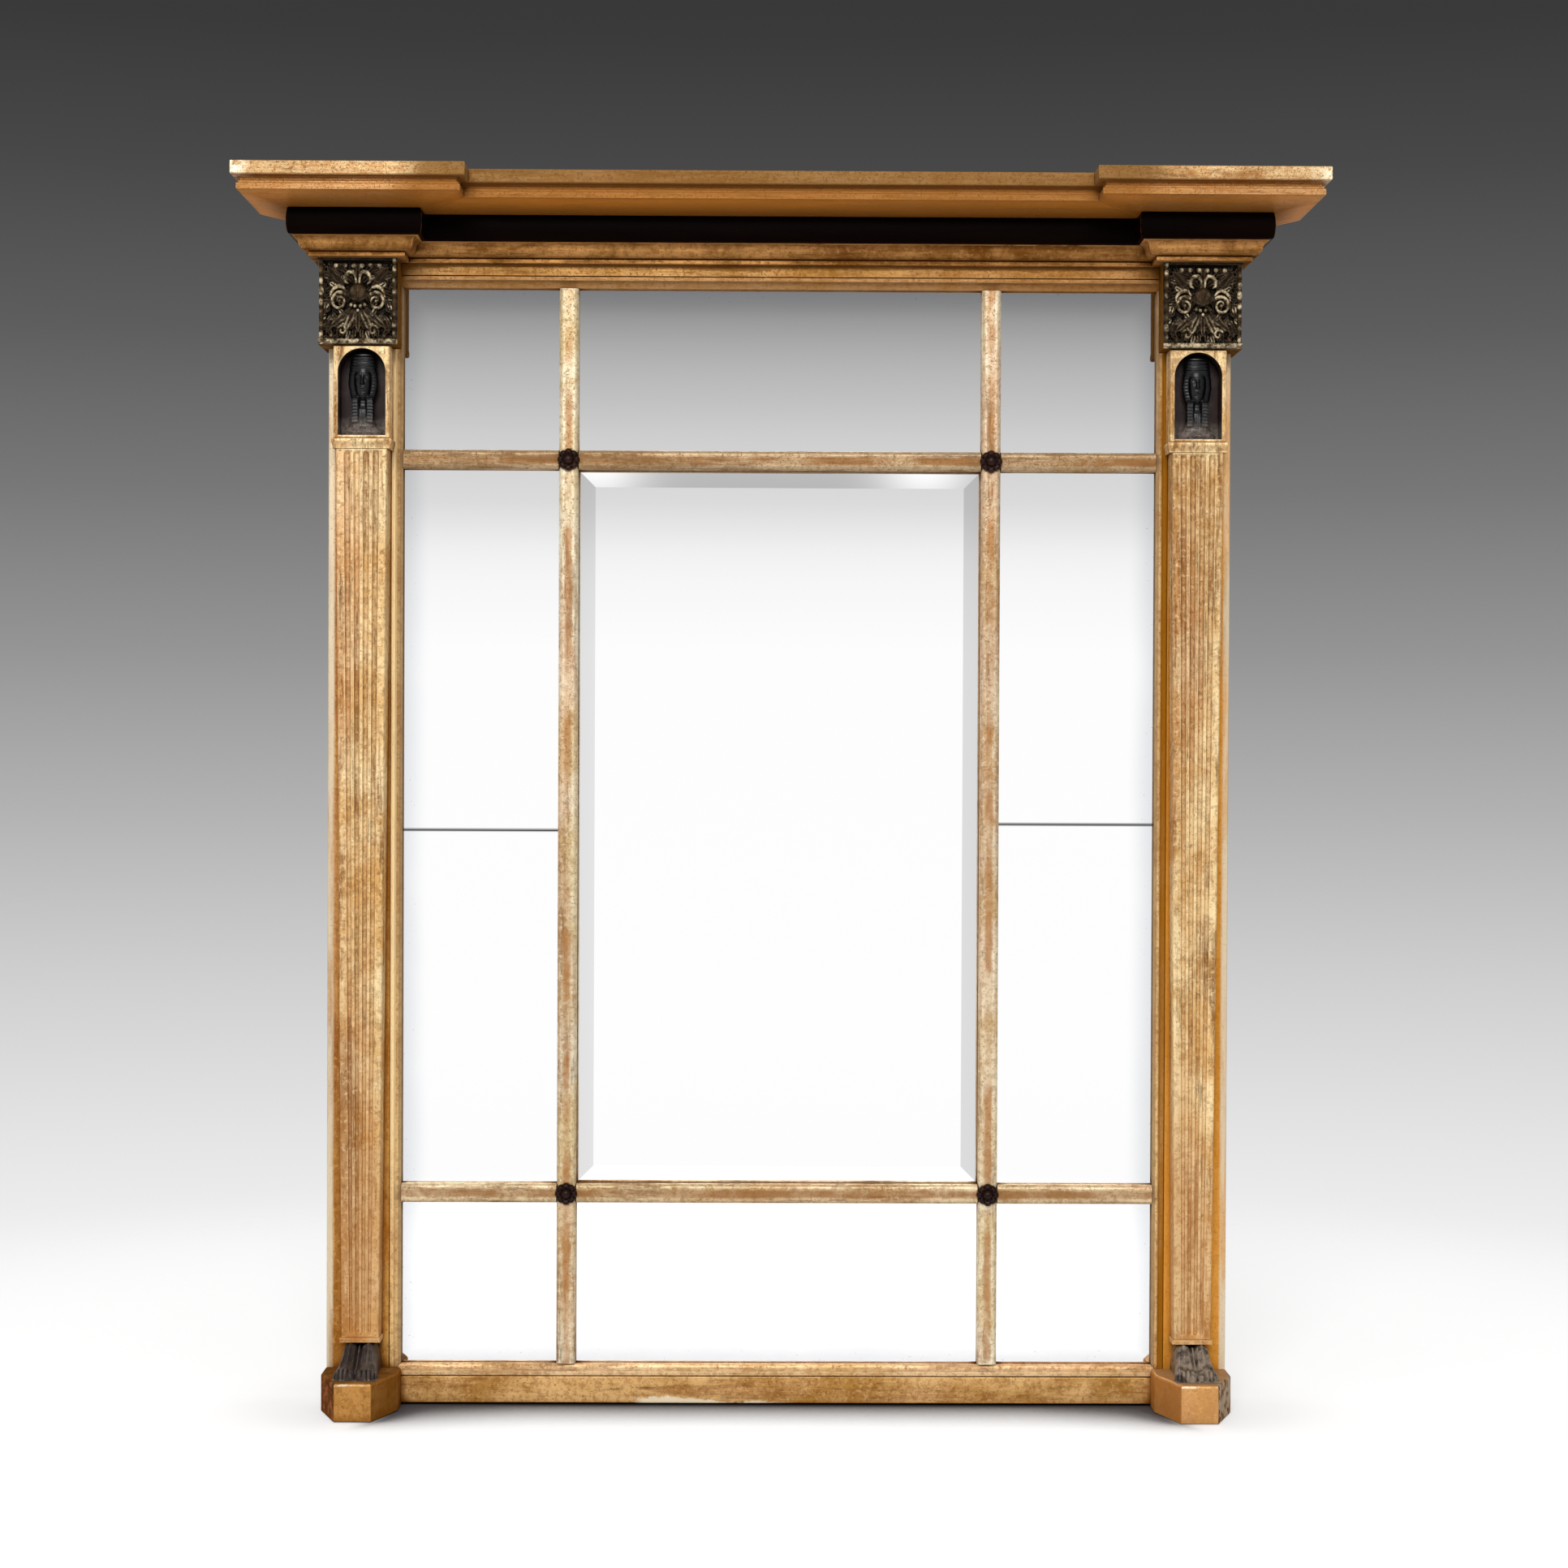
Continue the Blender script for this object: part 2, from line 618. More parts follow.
def cornice_tones(place, colour):
    """Paler end blocks and a browner middle, deep orange in the soffit, and knocked corners of bare gesso."""
    at = axes(place)
    across = unsigned(at["X"])
    along = run_place(place, "x")
    patch = maths("MULTIPLY_ADD", clouds(along, 16, 4, 0.6), 0.1, across)
    middle = ramped(patch, 0.4, 0.36, 0, 0.85)
    colour = mixed(middle, colour, srgb(132, 90, 42))
    colour = mixed(ramped(at["X"], -0.36, -0.42, 0, 0.25), colour, srgb(132, 88, 34))
    fillet_foot = CARCASS_TOP - FASCIA_HEIGHT - FILLET_HEIGHT
    under = ramped(at["Z"], fillet_foot + 0.0015, fillet_foot - 0.0015, 0, 0.85)
    cloudy = patches(along, 40, 5, 0.7, 0.3, 0.6, 0.65, 1.0)
    colour = mixed(times(under, cloudy), colour, srgb(226, 142, 52))
    sooty = ramped(at["Z"], CORNICE_FOOT + 0.007, CORNICE_FOOT, 0, 0.6)
    colour = mixed(sooty, colour, srgb(84, 42, 10))
    below_slab = ramped(at["Z"], CARCASS_TOP + 0.0005, CARCASS_TOP - 0.0005, 0, 0.5)
    in_groove = times(below_slab, maths("SUBTRACT", 1.0, under))
    colour = mixed(in_groove, colour, srgb(172, 108, 46))
    side = ramped(across, 0.452, 0.472)
    front = ramped(at["Y"], -0.05, -0.066)
    top = ramped(at["Z"], CARCASS_TOP - 0.002, CARCASS_TOP + 0.002)
    rough_edge = patches(place, 130, 4, 0.6, 0.35, 0.55)
    share = times(times(side, front), times(top, rough_edge))
    return mixed(share, colour, CREAM)


def rail_tones(place, colour):
    """A browner top rail, and the long chip of bare gesso under the bottom rail."""
    at = axes(place)
    colour = mixed(ramped(at["Z"], 0.4, 0.7, 0, 0.6), colour, srgb(142, 94, 38))
    edge = maths("MULTIPLY_ADD", clouds(place, 60, 4, 0.6), 0.012, at["Z"])
    edge = maths("ADD", edge, ramped(at["X"], -0.11, -0.03, 0.0, 0.0035))
    low = ramped(edge, 0.0145, 0.012)
    left = ramped(at["X"], -0.13, -0.118)
    right = ramped(at["X"], 0.02, -0.03)
    share = times(low, times(left, right))
    return mixed(share, colour, CREAM)


def rubbed_bar(place, colour):
    """A bar's middle rubbed to brown, between pale edges."""
    at = axes(place)
    across = unsigned(maths("SUBTRACT", unsigned(at["X"]), BAR_X))
    uneven = maths("MULTIPLY_ADD", clouds(place, 40, 4, 0.6), 0.004, across)
    core = ramped(uneven, 0.0068, 0.0036)
    core = times(core, patches(place, 22, 3, 0.6, 0.4, 0.6, 0.2, 0.75))
    return mixed(core, colour, srgb(172, 116, 62))


def rubbed_level_bar(place, colour):
    at = axes(place)
    middle = (ROWS["lower"] + ROWS["upper"]) / 2
    spacing = (ROWS["upper"] - ROWS["lower"]) / 2
    away = unsigned(maths("SUBTRACT", at["Z"], middle))
    across = unsigned(maths("SUBTRACT", away, spacing))
    uneven = maths("MULTIPLY_ADD", clouds(place, 40, 4, 0.6), 0.004, across)
    core = ramped(uneven, 0.0072, 0.004)
    core = times(core, patches(place, 18, 3, 0.6, 0.35, 0.6, 0.25, 0.85))
    colour = mixed(ramped(at["Z"], 0.4, 0.7, 0, 0.5), colour, srgb(132, 96, 62))
    return mixed(core, colour, srgb(152, 104, 58))


def pale_outer_strip(place, colour):
    """The outer margins of the stiles, rubbed pale by dusting."""
    at = axes(place)
    outer = ramped(unsigned(at["X"]), STILE_OUTER - 0.007, STILE_OUTER - 0.0045)
    uneven = patches(run_place(place, "z"), 60, 4, 0.6, 0.32, 0.5, 0.35, 0.9)
    right = ramped(at["X"], 0.0, 0.1, 0, 0.6)
    colour = mixed(right, colour, srgb(222, 150, 52))
    return mixed(times(outer, uneven), colour, srgb(226, 211, 182))


def slip_tones(place, colour):
    """Dull gold at the glass; the left fillet is rubbed pale, and the right one keeps its deep gold."""
    at = axes(place)
    across = unsigned(at["X"])
    kept = patches(run_place(place, "z"), 30, 5, 0.7, 0.3, 0.55, 0.7, 1.0)
    colour = mixed(ramped(across, SIGHT_X + 0.0034, SIGHT_X + 0.0022, 0, 0.7), colour, srgb(142, 118, 88))
    pale = times(ramped(at["X"], -SIGHT_X - 0.0044, -SIGHT_X - 0.0054), ramped(at["Z"], 0.1, 0.3))
    colour = mixed(times(pale, kept), colour, srgb(255, 224, 168))
    deep = ramped(at["X"], SIGHT_X + 0.0044, SIGHT_X + 0.0052)
    return mixed(times(deep, kept), colour, srgb(152, 96, 20))


def level_slip_tones(place, colour):
    """The top slip is browner, under the cornice."""
    shaded = ramped(axes(place)["Z"], 0.4, 0.8, 0, 0.75)
    return mixed(shaded, colour, srgb(144, 94, 38))


def worn_lower_shaft(place, colour):
    """The lower half of each shaft, rubbed down to orange-brown in drawn-out patches."""
    at = axes(place)
    uneven = maths("MULTIPLY_ADD", clouds(run_place(place, "z"), 30, 5, 0.7), 0.5, at["Z"])
    low = ramped(uneven, 0.62, 0.4, 0.0, 0.5)
    return mixed(low, colour, srgb(190, 128, 66))


def soiled_plinth(place, colour):
    """Dark tops and outer cants, where dust and polish have gathered."""
    at = axes(place)
    facing = axes(place.node.outputs["Normal"])
    broken = patches(place, 50, 5, 0.66, 0.3, 0.6, 0.6, 1.0)
    edge = times(ramped(at["Z"], PLINTH_TOP - 0.0035, PLINTH_TOP - 0.0015), ramped(facing["Y"], -0.5, -0.8))
    chips = patches(place, 85, 5, 0.7, 0.42, 0.56)
    colour = mixed(times(edge, chips), colour, CREAM)
    top = ramped(facing["Z"], 0.7, 0.9)
    colour = mixed(times(top, broken), colour, srgb(98, 64, 34))
    outward = times(facing["X"], maths("SIGN", at["X"]))
    outer = ramped(outward, 0.3, 0.6)
    right = right_half(place)
    colour = mixed(0.35, colour, mixed(right, srgb(124, 74, 18), srgb(240, 188, 128)))
    inner = ramped(outward, -0.3, -0.6, 0, 0.85)
    brown = mixed(right, srgb(122, 72, 16), srgb(184, 118, 52))
    colour = mixed(times(inner, broken), colour, brown)
    reddish = mixed(patches(place, 130, 4, 0.68, 0.46, 0.6), srgb(92, 54, 27), srgb(150, 84, 50))
    worn = mixed(patches(place, 110, 4, 0.68, 0.4, 0.54), srgb(112, 72, 40), srgb(166, 146, 120))
    return mixed(times(outer, broken), colour, mixed(right, reddish, worn))


def dark_paint(tree, place, proud, hollow, ground, bloom, rub):
    """The dark group at work on one material: Color, Roughness and Height."""
    given = {"Place": place, "Proud": proud, "Hollow": hollow, "Ground": ground, "Bloom": bloom, "Rub": rub}
    return use_group(tree, DARK, given)


def ebonised_finish():
    material, tree, shader, place = new_finish("ebonised_frieze")
    found = use_group(tree, EDGES, {"Edge width": 0.0016, "Hollow reach": 0.01})
    run, proud = run_place(place, "x", 0.15), times(found["Ridge"], 0.7)
    made = dark_paint(tree, run, proud, found["Hollow"], srgb(9, 4, 3), srgb(17, 7, 5), srgb(96, 52, 22))
    feed(shader, Base_Color=made["Color"], Roughness=made["Roughness"], Specular_IOR_Level=0.008)
    bump(shader, made["Height"], 0.0002, 0.4)
    return material


def bronzed_finish(name, ground, bloom, rub, proud=1.0, metallic=0.25, dust=None, gloss=0.15, handled=0.0):
    """Bronzed or dark paint. Dust gives the height where grey dust starts, and where it is thickest.

    Handled is the share of pale wear on the right-hand side of the mirror.
    """
    material, tree, shader, place = new_finish(name)
    found = use_group(tree, EDGES, {"Edge width": 0.0012, "Hollow reach": 0.007})
    made = dark_paint(tree, place, times(found["Ridge"], proud), found["Hollow"], ground, bloom, rub)
    colour = made["Color"]
    if handled:
        pale = right_half(place, handled)
        pale = times(pale, patches(place, 120, 4, 0.65, 0.36, 0.6))
        colour = mixed(pale, colour, srgb(170, 152, 132))
    if dust:
        uneven = maths("MULTIPLY_ADD", clouds(place, 90, 5, 0.7), 0.014, axes(place)["Z"])
        share = ramped(uneven, dust[0] + 0.007, dust[1] + 0.007, 0, 0.85)
        share = times(share, patches(place, 260, 4, 0.7, 0.35, 0.6, 0.35, 1.0))
        colour = mixed(share, colour, srgb(128, 114, 104))
    feed(shader, Base_Color=colour, Roughness=times(made["Roughness"], 0.85))
    feed(shader, Metallic=metallic, Specular_IOR_Level=gloss)
    bump(shader, made["Height"], 0.0002, 0.5)
    return material


def carved_finish():
    """The capital's dark ground, with gold left on the carving that stands proud."""
    material, tree, shader, place = new_finish("carved_capital")
    found = use_group(tree, EDGES, {"Edge width": 0.0012, "Hollow reach": 0.006})
    painted = add_node(tree, "ShaderNodeAttribute", attribute_name="gold_left").outputs["Fac"]
    gold_left = maths("MAXIMUM", ramped(painted, 0.35, 0.85), times(found["Ridge"], 0.3))
    gold_left = times(gold_left, patches(place, 330, 4, 0.62, 0.36, 0.56, 0.2, 1.0))
    raised = add_node(tree, "ShaderNodeAttribute", attribute_name="carved_height").outputs["Fac"]
    raised = times(ramped(raised, 0.3, 0.85), patches(place, 210, 4, 0.62, 0.34, 0.6, 0.3, 1.0))
    ground = mixed(raised, srgb(12, 7, 4), srgb(80, 62, 40))
    made = dark_paint(tree, place, gold_left, found["Hollow"], ground, srgb(44, 29, 16), srgb(226, 206, 168))
    feed(shader, Base_Color=made["Color"], Roughness=made["Roughness"], Metallic=0.1, Specular_IOR_Level=0.08)
    bump(shader, made["Height"], 0.0002, 0.5)
    return material


def pine_finish(name, along, board=None):
    """Old pine. Board is the width of the boards laid side by side, each with grain of its own."""
    material, tree, shader, place = new_finish(name)
    run = run_place(place, along, 0.06)
    if board:
        number = maths("FLOOR", maths("MULTIPLY_ADD", axes(place)["X"], 1 / board, 0.5))
        shift = add_node(tree, "ShaderNodeCombineXYZ", {"Y": times(number, 1.7)}).outputs[0]
        run = add_node(tree, "ShaderNodeVectorMath", {0: run, 1: shift}, operation="ADD").outputs[0]
    made = use_group(tree, WOOD, {"Run place": run, "Light": PINE_LIGHT, "Dark": PINE_DARK})
    found = use_group(tree, EDGES, {"Edge width": 0.002, "Hollow reach": 0.015})
    dusty = mixed(times(found["Hollow"], 0.7), made["Color"], SOOT)
    feed(shader, Base_Color=dusty, Roughness=made["Roughness"])
    bump(shader, made["Height"], 0.0005, 0.5)
    return material


def iron_finish():
    material, tree, shader, place = new_finish("iron_fittings")
    found = use_group(tree, EDGES, {"Edge width": 0.0008, "Hollow reach": 0.004})
    rust = patches(place, 180, 5, 0.65, 0.48, 0.66)
    colour = mixed(rust, srgb(84, 80, 76), srgb(104, 62, 38))
    colour = mixed(found["Ridge"], colour, srgb(150, 146, 140))
    colour = mixed(times(found["Hollow"], 0.7), colour, srgb(38, 28, 24))
    feed(
        shader, Base_Color=colour, Roughness=ramped(rust, 0, 1, 0.42, 0.8),
        Metallic=ramped(rust, 0, 1, 0.85, 0.15),
    )
    bump(shader, clouds(place, 700, 4, 0.6), 0.0002, 0.6)
    return material


def old_mirror():
    """Silvered plate: a little grey in the body, duller and spotted towards the sight edge."""
    material, _, shader, place = new_finish("old_mirror_plate")
    at = axes(place)
    beside = maths("SUBTRACT", SIGHT_X, unsigned(at["X"]))
    below = maths("SUBTRACT", at["Z"], SIGHT_FOOT)
    above = maths("SUBTRACT", SIGHT_TOP, at["Z"])
    near = maths("MINIMUM", beside, maths("MINIMUM", below, above))
    wavy = maths("MULTIPLY_ADD", clouds(place, 8, 3, 0.5), 0.012, near)
    dull = ramped(wavy, 0.03, 0.004)
    colour = mixed(times(dull, 0.55), srgb(254, 254, 254), srgb(205, 208, 214))
    spots = patches(place, 330, 3, 0.6, 0.68, 0.74)
    spots = times(spots, ramped(near, 0.016, 0.002))
    colour = mixed(times(spots, 0.5), colour, srgb(120, 118, 116))
    side = ramped(at["X"], -0.01, 0.01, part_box("glass_left_upper")[0].z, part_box("glass_right_upper")[0].z)
    seam = ramped(unsigned(maths("SUBTRACT", at["Z"], side)), 0.0022, 0.0006)
    seam = times(seam, ramped(unsigned(at["X"]), BAR_X - 0.001, BAR_X + 0.001))
    colour = mixed(times(seam, 0.8), colour, srgb(112, 112, 112))
    feed(shader, Base_Color=colour, Roughness=ramped(dull, 0, 1, 0.012, 0.05), Metallic=1.0)
    return material


CORNICE_GILT = gilding(
    "cornice_gilding", "x", srgb(182, 142, 94), srgb(212, 180, 134), srgb(160, 96, 28), 0.6, 1.0,
    cornice_tones,
)
BED_GILT = gilding("bed_gilding", "x", srgb(118, 74, 28), srgb(190, 138, 80), srgb(108, 60, 14), 0.8, 1.0)
LEVEL_GILT = gilding(
    "rail_gilding", "x", srgb(178, 128, 62), srgb(232, 186, 124), UMBER, 0.8, 0.8, rail_tones,
    wooden_back=True,
)
STILE_GILT = gilding(
    "stile_gilding", "z", ORANGE_GOLD, srgb(222, 168, 90), UMBER, 0.6, 1.0, pale_outer_strip, wooden_back=True
)
SHAFT_GILT = gilding(
    "shaft_gilding", "z", srgb(222, 174, 108), srgb(255, 228, 176), UMBER, 1.0, 1.0, worn_lower_shaft,
    reach=0.009,
)
SLIP_GILT_UPRIGHT = gilding(
    "slip_gilding_upright", "z", srgb(222, 174, 114), PALE, UMBER, 0.5, 0.8, slip_tones
)
SLIP_GILT_LEVEL = gilding(
    "slip_gilding_level", "x", srgb(210, 170, 116), srgb(232, 198, 152), UMBER, 0.6, 0.8, level_slip_tones
)
BAR_GILT_UPRIGHT = gilding(
    "bar_gilding_upright", "z", srgb(220, 198, 152), srgb(246, 234, 204), srgb(148, 104, 58), 0.8, 1.0,
    rubbed_bar,
)
BAR_GILT_LEVEL = gilding(
    "bar_gilding_level", "x", srgb(190, 162, 120), srgb(232, 210, 172), srgb(128, 86, 44), 0.9, 1.0,
    rubbed_level_bar,
)
PLINTH_GILT = gilding(
    "plinth_gilding", "z", srgb(178, 118, 50), srgb(218, 164, 94), UMBER, 0.3, 1.2, soiled_plinth, reach=0.02
)
CHEEK_GILT = gilding(
    "capital_cheek_gilding", "z", srgb(112, 74, 22), srgb(140, 98, 44), srgb(84, 50, 12), 0.6, 0.15
)
EBONISED = ebonised_finish()
NICHE_DUST = (NICHE_FOOT + 20 * MM, NICHE_FOOT + 5 * MM)
BRONZED = bronzed_finish(
    "bronzed_figure", srgb(5, 5, 6), srgb(14, 16, 18), srgb(112, 116, 112), 1.0, 0.0, NICHE_DUST, 0.3
)
FEET_BRONZE = bronzed_finish(
    "bronzed_feet", srgb(50, 40, 36), srgb(112, 99, 90), srgb(196, 188, 172), 1.0, 0.0, handled=0.6
)
BOSS_BRONZE = bronzed_finish("bronzed_boss", srgb(32, 15, 11), srgb(62, 34, 26), srgb(104, 70, 50), 0.5, 0.1)
NICHE_DARK = bronzed_finish(
    "niche_lining", srgb(38, 25, 22), srgb(84, 66, 62), srgb(120, 90, 70), 0.5, 0.0, NICHE_DUST
)
CARVED = carved_finish()
BOARD_LOW, BOARD_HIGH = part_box("backboard_2")
PINE_UPRIGHT = pine_finish("pine_upright", "z", BOARD_HIGH[0] - BOARD_LOW[0])
PINE_LEVEL = pine_finish("pine_level", "x")
IRON = iron_finish()
MIRROR = old_mirror()


# ---------------------------------------------------------------- mouldings


def cornice_section():
    """Projection and height: a soffit rounding up to a fillet, a groove, and the slab."""
    fillet_foot = CARCASS_TOP - FASCIA_HEIGHT - FILLET_HEIGHT
    inner = FRIEZE_PROJECTION + FRIEZE_CUSHION
    middle = (FILLET_PROJECTION + FASCIA_PROJECTION) / 2
    step = FASCIA_HEIGHT / 3
    reach, drop = FILLET_PROJECTION - inner, fillet_foot - CORNICE_FOOT
    turns = np.linspace(0, math.pi / 2, 11)
    flat = lambda share: max(share, 0) ** SOFFIT_FLATNESS
    soffit = [(inner + reach * flat(math.sin(a)), fillet_foot - drop * flat(math.cos(a))) for a in turns]
    section = [
        (FIT, CORNICE_FOOT),
        *soffit,
        (FILLET_PROJECTION, CARCASS_TOP - FASCIA_HEIGHT),
        (middle, CARCASS_TOP - FASCIA_HEIGHT),
        (middle, CARCASS_TOP - FASCIA_HEIGHT + step),
        (FASCIA_PROJECTION, CARCASS_TOP - FASCIA_HEIGHT + step),
        (FASCIA_PROJECTION, CARCASS_TOP),
        (SLAB_PROJECTION, CARCASS_TOP),
        (SLAB_PROJECTION, CORNICE_TOP),
        (FIT, CORNICE_TOP),
    ]
    return eased(section, 1.3 * MM)


def frieze_section():
    low, high = FRIEZE_FOOT + FIT, CORNICE_FOOT - FIT
    half = (high - low) / 2
    cushion = arc((FRIEZE_PROJECTION, low + half), FRIEZE_CUSHION, half, -math.pi / 2, math.pi / 2, 14)
    return [(FIT, low), *cushion, (FIT, high)]


def bed_section():
    """An ogee that falls back to a quirk over a fillet."""
    fillet_top = BED_FOOT + BED_FILLET_HEIGHT
    quirk = fillet_top + 1 * MM
    middle_x = (BED_TOP_PROJECTION + BED_NECK_PROJECTION) / 2
    middle_z = (FRIEZE_FOOT + quirk) / 2
    span_x, span_z = BED_TOP_PROJECTION - middle_x, FRIEZE_FOOT - middle_z
    lower = arc((BED_NECK_PROJECTION, middle_z), span_x, span_z, -math.pi / 2, 0, 8)
    upper = arc((BED_TOP_PROJECTION, middle_z), span_x, span_z, math.pi, math.pi / 2, 8)
    neck = BED_NECK_PROJECTION - 3 * MM
    section = [
        (FIT, BED_FOOT + FIT),
        (BED_FILLET_PROJECTION, BED_FOOT + FIT),
        (BED_FILLET_PROJECTION, fillet_top),
        (neck, fillet_top),
        (neck, quirk),
        *lower,
        *upper[1:],
        (FIT, FRIEZE_FOOT),
    ]
    return eased(section, 0.7 * MM, least_turn=40)


def breakfront_moulding(stem, section, finish, seed):
    """Round each end block to an inside mitre, and straight between the two."""
    end = mitred_run(
        section,
        [
            ((CAPITAL_OUTER, RETURN_BACK), (1, 0)),
            ((CAPITAL_OUTER, CAPITAL_FACE), (1, -1)),
            ((CAPITAL_INNER, CAPITAL_FACE), (-1, -1)),
            ((CAPITAL_INNER, FACE), (-1, -1)),
        ],
        seed=seed,
    )
    both_sides(f"{stem}_end", end, finish)
    mitre = CAPITAL_INNER - FIT
    centre = mitred_run(section, [((-mitre, FACE), (1, -1)), ((mitre, FACE), (-1, -1))], seed=seed + 5)
    make_piece(f"{stem}_centre_shaped", centre, finish, [f"{stem}_centre"])


breakfront_moulding("cornice", cornice_section(), CORNICE_GILT, 1)
breakfront_moulding("frieze", frieze_section(), EBONISED, 2)
breakfront_moulding("bed_mould", bed_section(), BED_GILT, 3)


# ---------------------------------------------------------------- sight slip and bars


def slip_side(start, end, away):
    """One side of the slip: a fillet, then a hollow falling to the glass, mitred at both ends."""
    hollow = arc((0, FACE), SLIP_HOLLOW, SLIP_HOLLOW, math.pi / 2, 0, 8)
    edge = SLIP_WIDTH - FIT
    section = [
        (0, GLASS_PLANE), (0, FACE + SLIP_HOLLOW), *hollow[1:-1], (SLIP_HOLLOW, FACE), (edge, FACE),
        (edge, GLASS_PLANE),
    ]
    section = eased(section, 0.8 * MM, least_turn=40)
    start, end, away = Vector(start), Vector(end), Vector(away)
    along = (end - start).normalized()
    rings = []
    for t in stretches(0, 1, 0.03):
        ring = []
        for reach, depth in section:
            shift = (reach - FIT) * (2 * t - 1)
            p = start.lerp(end, t) + away * reach + along * shift
            ring.append((p.x, depth, p.y))
        rings.append(ring)
    return skin(rings)


def sight_slip():
    left_foot, right_foot = (-SIGHT_X, SIGHT_FOOT), (SIGHT_X, SIGHT_FOOT)
    left_top, right_top = (-SIGHT_X, SIGHT_TOP), (SIGHT_X, SIGHT_TOP)
    for node, start, end, away in (
        ("slip_bottom", left_foot, right_foot, (0, -1)),
        ("slip_top", left_top, right_top, (0, 1)),
    ):
        make_piece(f"{node}_shaped", slip_side(start, end, away), SLIP_GILT_LEVEL, [node])
    both_sides("slip", slip_side(right_foot, right_top, (1, 0)), SLIP_GILT_UPRIGHT)


def bar_section(half_width=BAR_WIDTH / 2):
    """A rounded front that laps the plates, with a tongue between them."""
    flat = BAR_FLAT / 2
    round_reach = half_width - flat
    shoulder = BAR_FRONT + round_reach
    tongue = BAR_TONGUE / 2
    section = [
        (-tongue, GLASS_BACK),
        (-tongue, GLASS_PLANE),
        (-half_width, GLASS_PLANE),
        *arc((-flat, shoulder), round_reach, round_reach, math.pi, 1.5 * math.pi, 7),
        *arc((flat, shoulder), round_reach, round_reach, 1.5 * math.pi, 2 * math.pi, 7),
        (half_width, GLASS_PLANE),
        (tongue, GLASS_PLANE),
        (tongue, GLASS_BACK),
    ]
    return section


def bar_run(start, end, place_of, seed):
    """A stretch of bar from start to end; place_of turns (along, across, depth) into a corner."""
    rings = []
    for along in stretches(start, end, 14 * MM):
        ring = []
        for across, depth in bar_section():
            front = depth < GLASS_PLANE - 1 * MM
            sink = hand_wobble((along, across * 4, seed), seed, 0.45 * MM) if front else 0
            ring.append(place_of(along, across, depth + sink))
        rings.append(ring)
    return skin(rings)


def glazing_bars():
    upright = bar_run(SIGHT_FOOT + FIT, SIGHT_TOP - FIT, lambda a, b, depth: (BAR_X + b, depth, a), 4)
    both_sides("bar_vertical", upright, BAR_GILT_UPRIGHT)
    clear = BAR_WIDTH / 2 + FIT
    edges = [-SIGHT_X + FIT, -BAR_X - clear, -BAR_X + clear, BAR_X - clear, BAR_X + clear, SIGHT_X - FIT]
    for number, (row, height) in enumerate(ROWS.items()):
        place = lambda a, b, depth: (a, depth, height - b)
        runs = [bar_run(edges[i], edges[i + 1], place, 6 + number) for i in (0, 2, 4)]
        node = f"bar_horizontal_{row}"
        make_piece(f"{node}_shaped", several(runs), BAR_GILT_LEVEL, [node])


def boss(height):
    """A turned boss carved with a ring of petals round a raised eye."""
    low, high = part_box("boss_upper_right")
    radius = (high.x - low.x) / 2
    rise = high.y - low.y
    profile = [(0.86, 0), (0.97, 0.06), (1, 0.2), (0.985, 0.36), (0.93, 0.5), (0.82, 0.63), (0.72, 0.66)]
    profile += [
        (0.6, 0.6), (0.52, 0.5), (0.46, 0.47), (0.42, 0.56), (0.4, 0.74), (0.33, 0.88), (0.2, 0.97), (0.06, 1)
    ]
    petals, count = 8, 96
    rings = []
    for share, lift in profile:
        ring = []
        petal_zone = min(1, max(0, (share - 0.5) / 0.3))
        for k in range(count):
            angle = 2 * math.pi * k / count
            lobe = abs(math.cos(petals * angle / 2))
            reach = radius * share * (1 - 0.13 * petal_zone * (1 - lobe) ** 1.5)
            depth = rise * lift * (1 - 0.3 * petal_zone * (1 - lobe) ** 2)
            depth -= 0.35 * MM * petal_zone * math.exp(
                -((angle * petals / (2 * math.pi)) % 1 - 0.5) ** 2 / 0.004
            ) * (lift > 0.4)
            ring.append(
                (BAR_X + reach * math.cos(angle), high.y - max(depth, 0), height + reach * math.sin(angle))
            )
        rings.append(ring)
    return skin(rings)


sight_slip()
glazing_bars()
for row, height in ROWS.items():
    both_sides(f"boss_{row}", boss(height), BOSS_BRONZE, crease=60)


# ---------------------------------------------------------------- carved capitals


def stroke(x, z, points, width, rise):
    """The lift of a rounded strap carved along a line of points, on a grid of places."""
    points = np.array(points, float)
    starts, ends = points[:-1], points[1:]
    lift = np.zeros_like(x)
    for number, (a, b) in enumerate(zip(starts, ends)):
        along = b - a
        t = ((x - a[0]) * along[0] + (z - a[1]) * along[1]) / max(float(along @ along), 1e-12)
        t = np.clip(t, 0, 1)
        distance = np.hypot(x - a[0] - t * along[0], z - a[1] - t * along[1])
        share = (number + t) / len(starts)
        local = width(share) if callable(width) else width
        lift = np.maximum(lift, rise * np.sqrt(np.clip(1 - (distance / local) ** 2, 0, 1)))
    return lift


def volute(centre, start_angle, turns, reach, eye, steps=26, sense=1):
    """Points of a scroll that winds in to its eye."""
    points = []
    for i in range(steps + 1):
        t = i / steps
        angle = start_angle + sense * 2 * math.pi * turns * t
        radius = reach * (1 - t) ** 0.8 + eye * t
        points.append((centre[0] + radius * math.cos(angle), centre[1] + radius * math.sin(angle)))
    return points


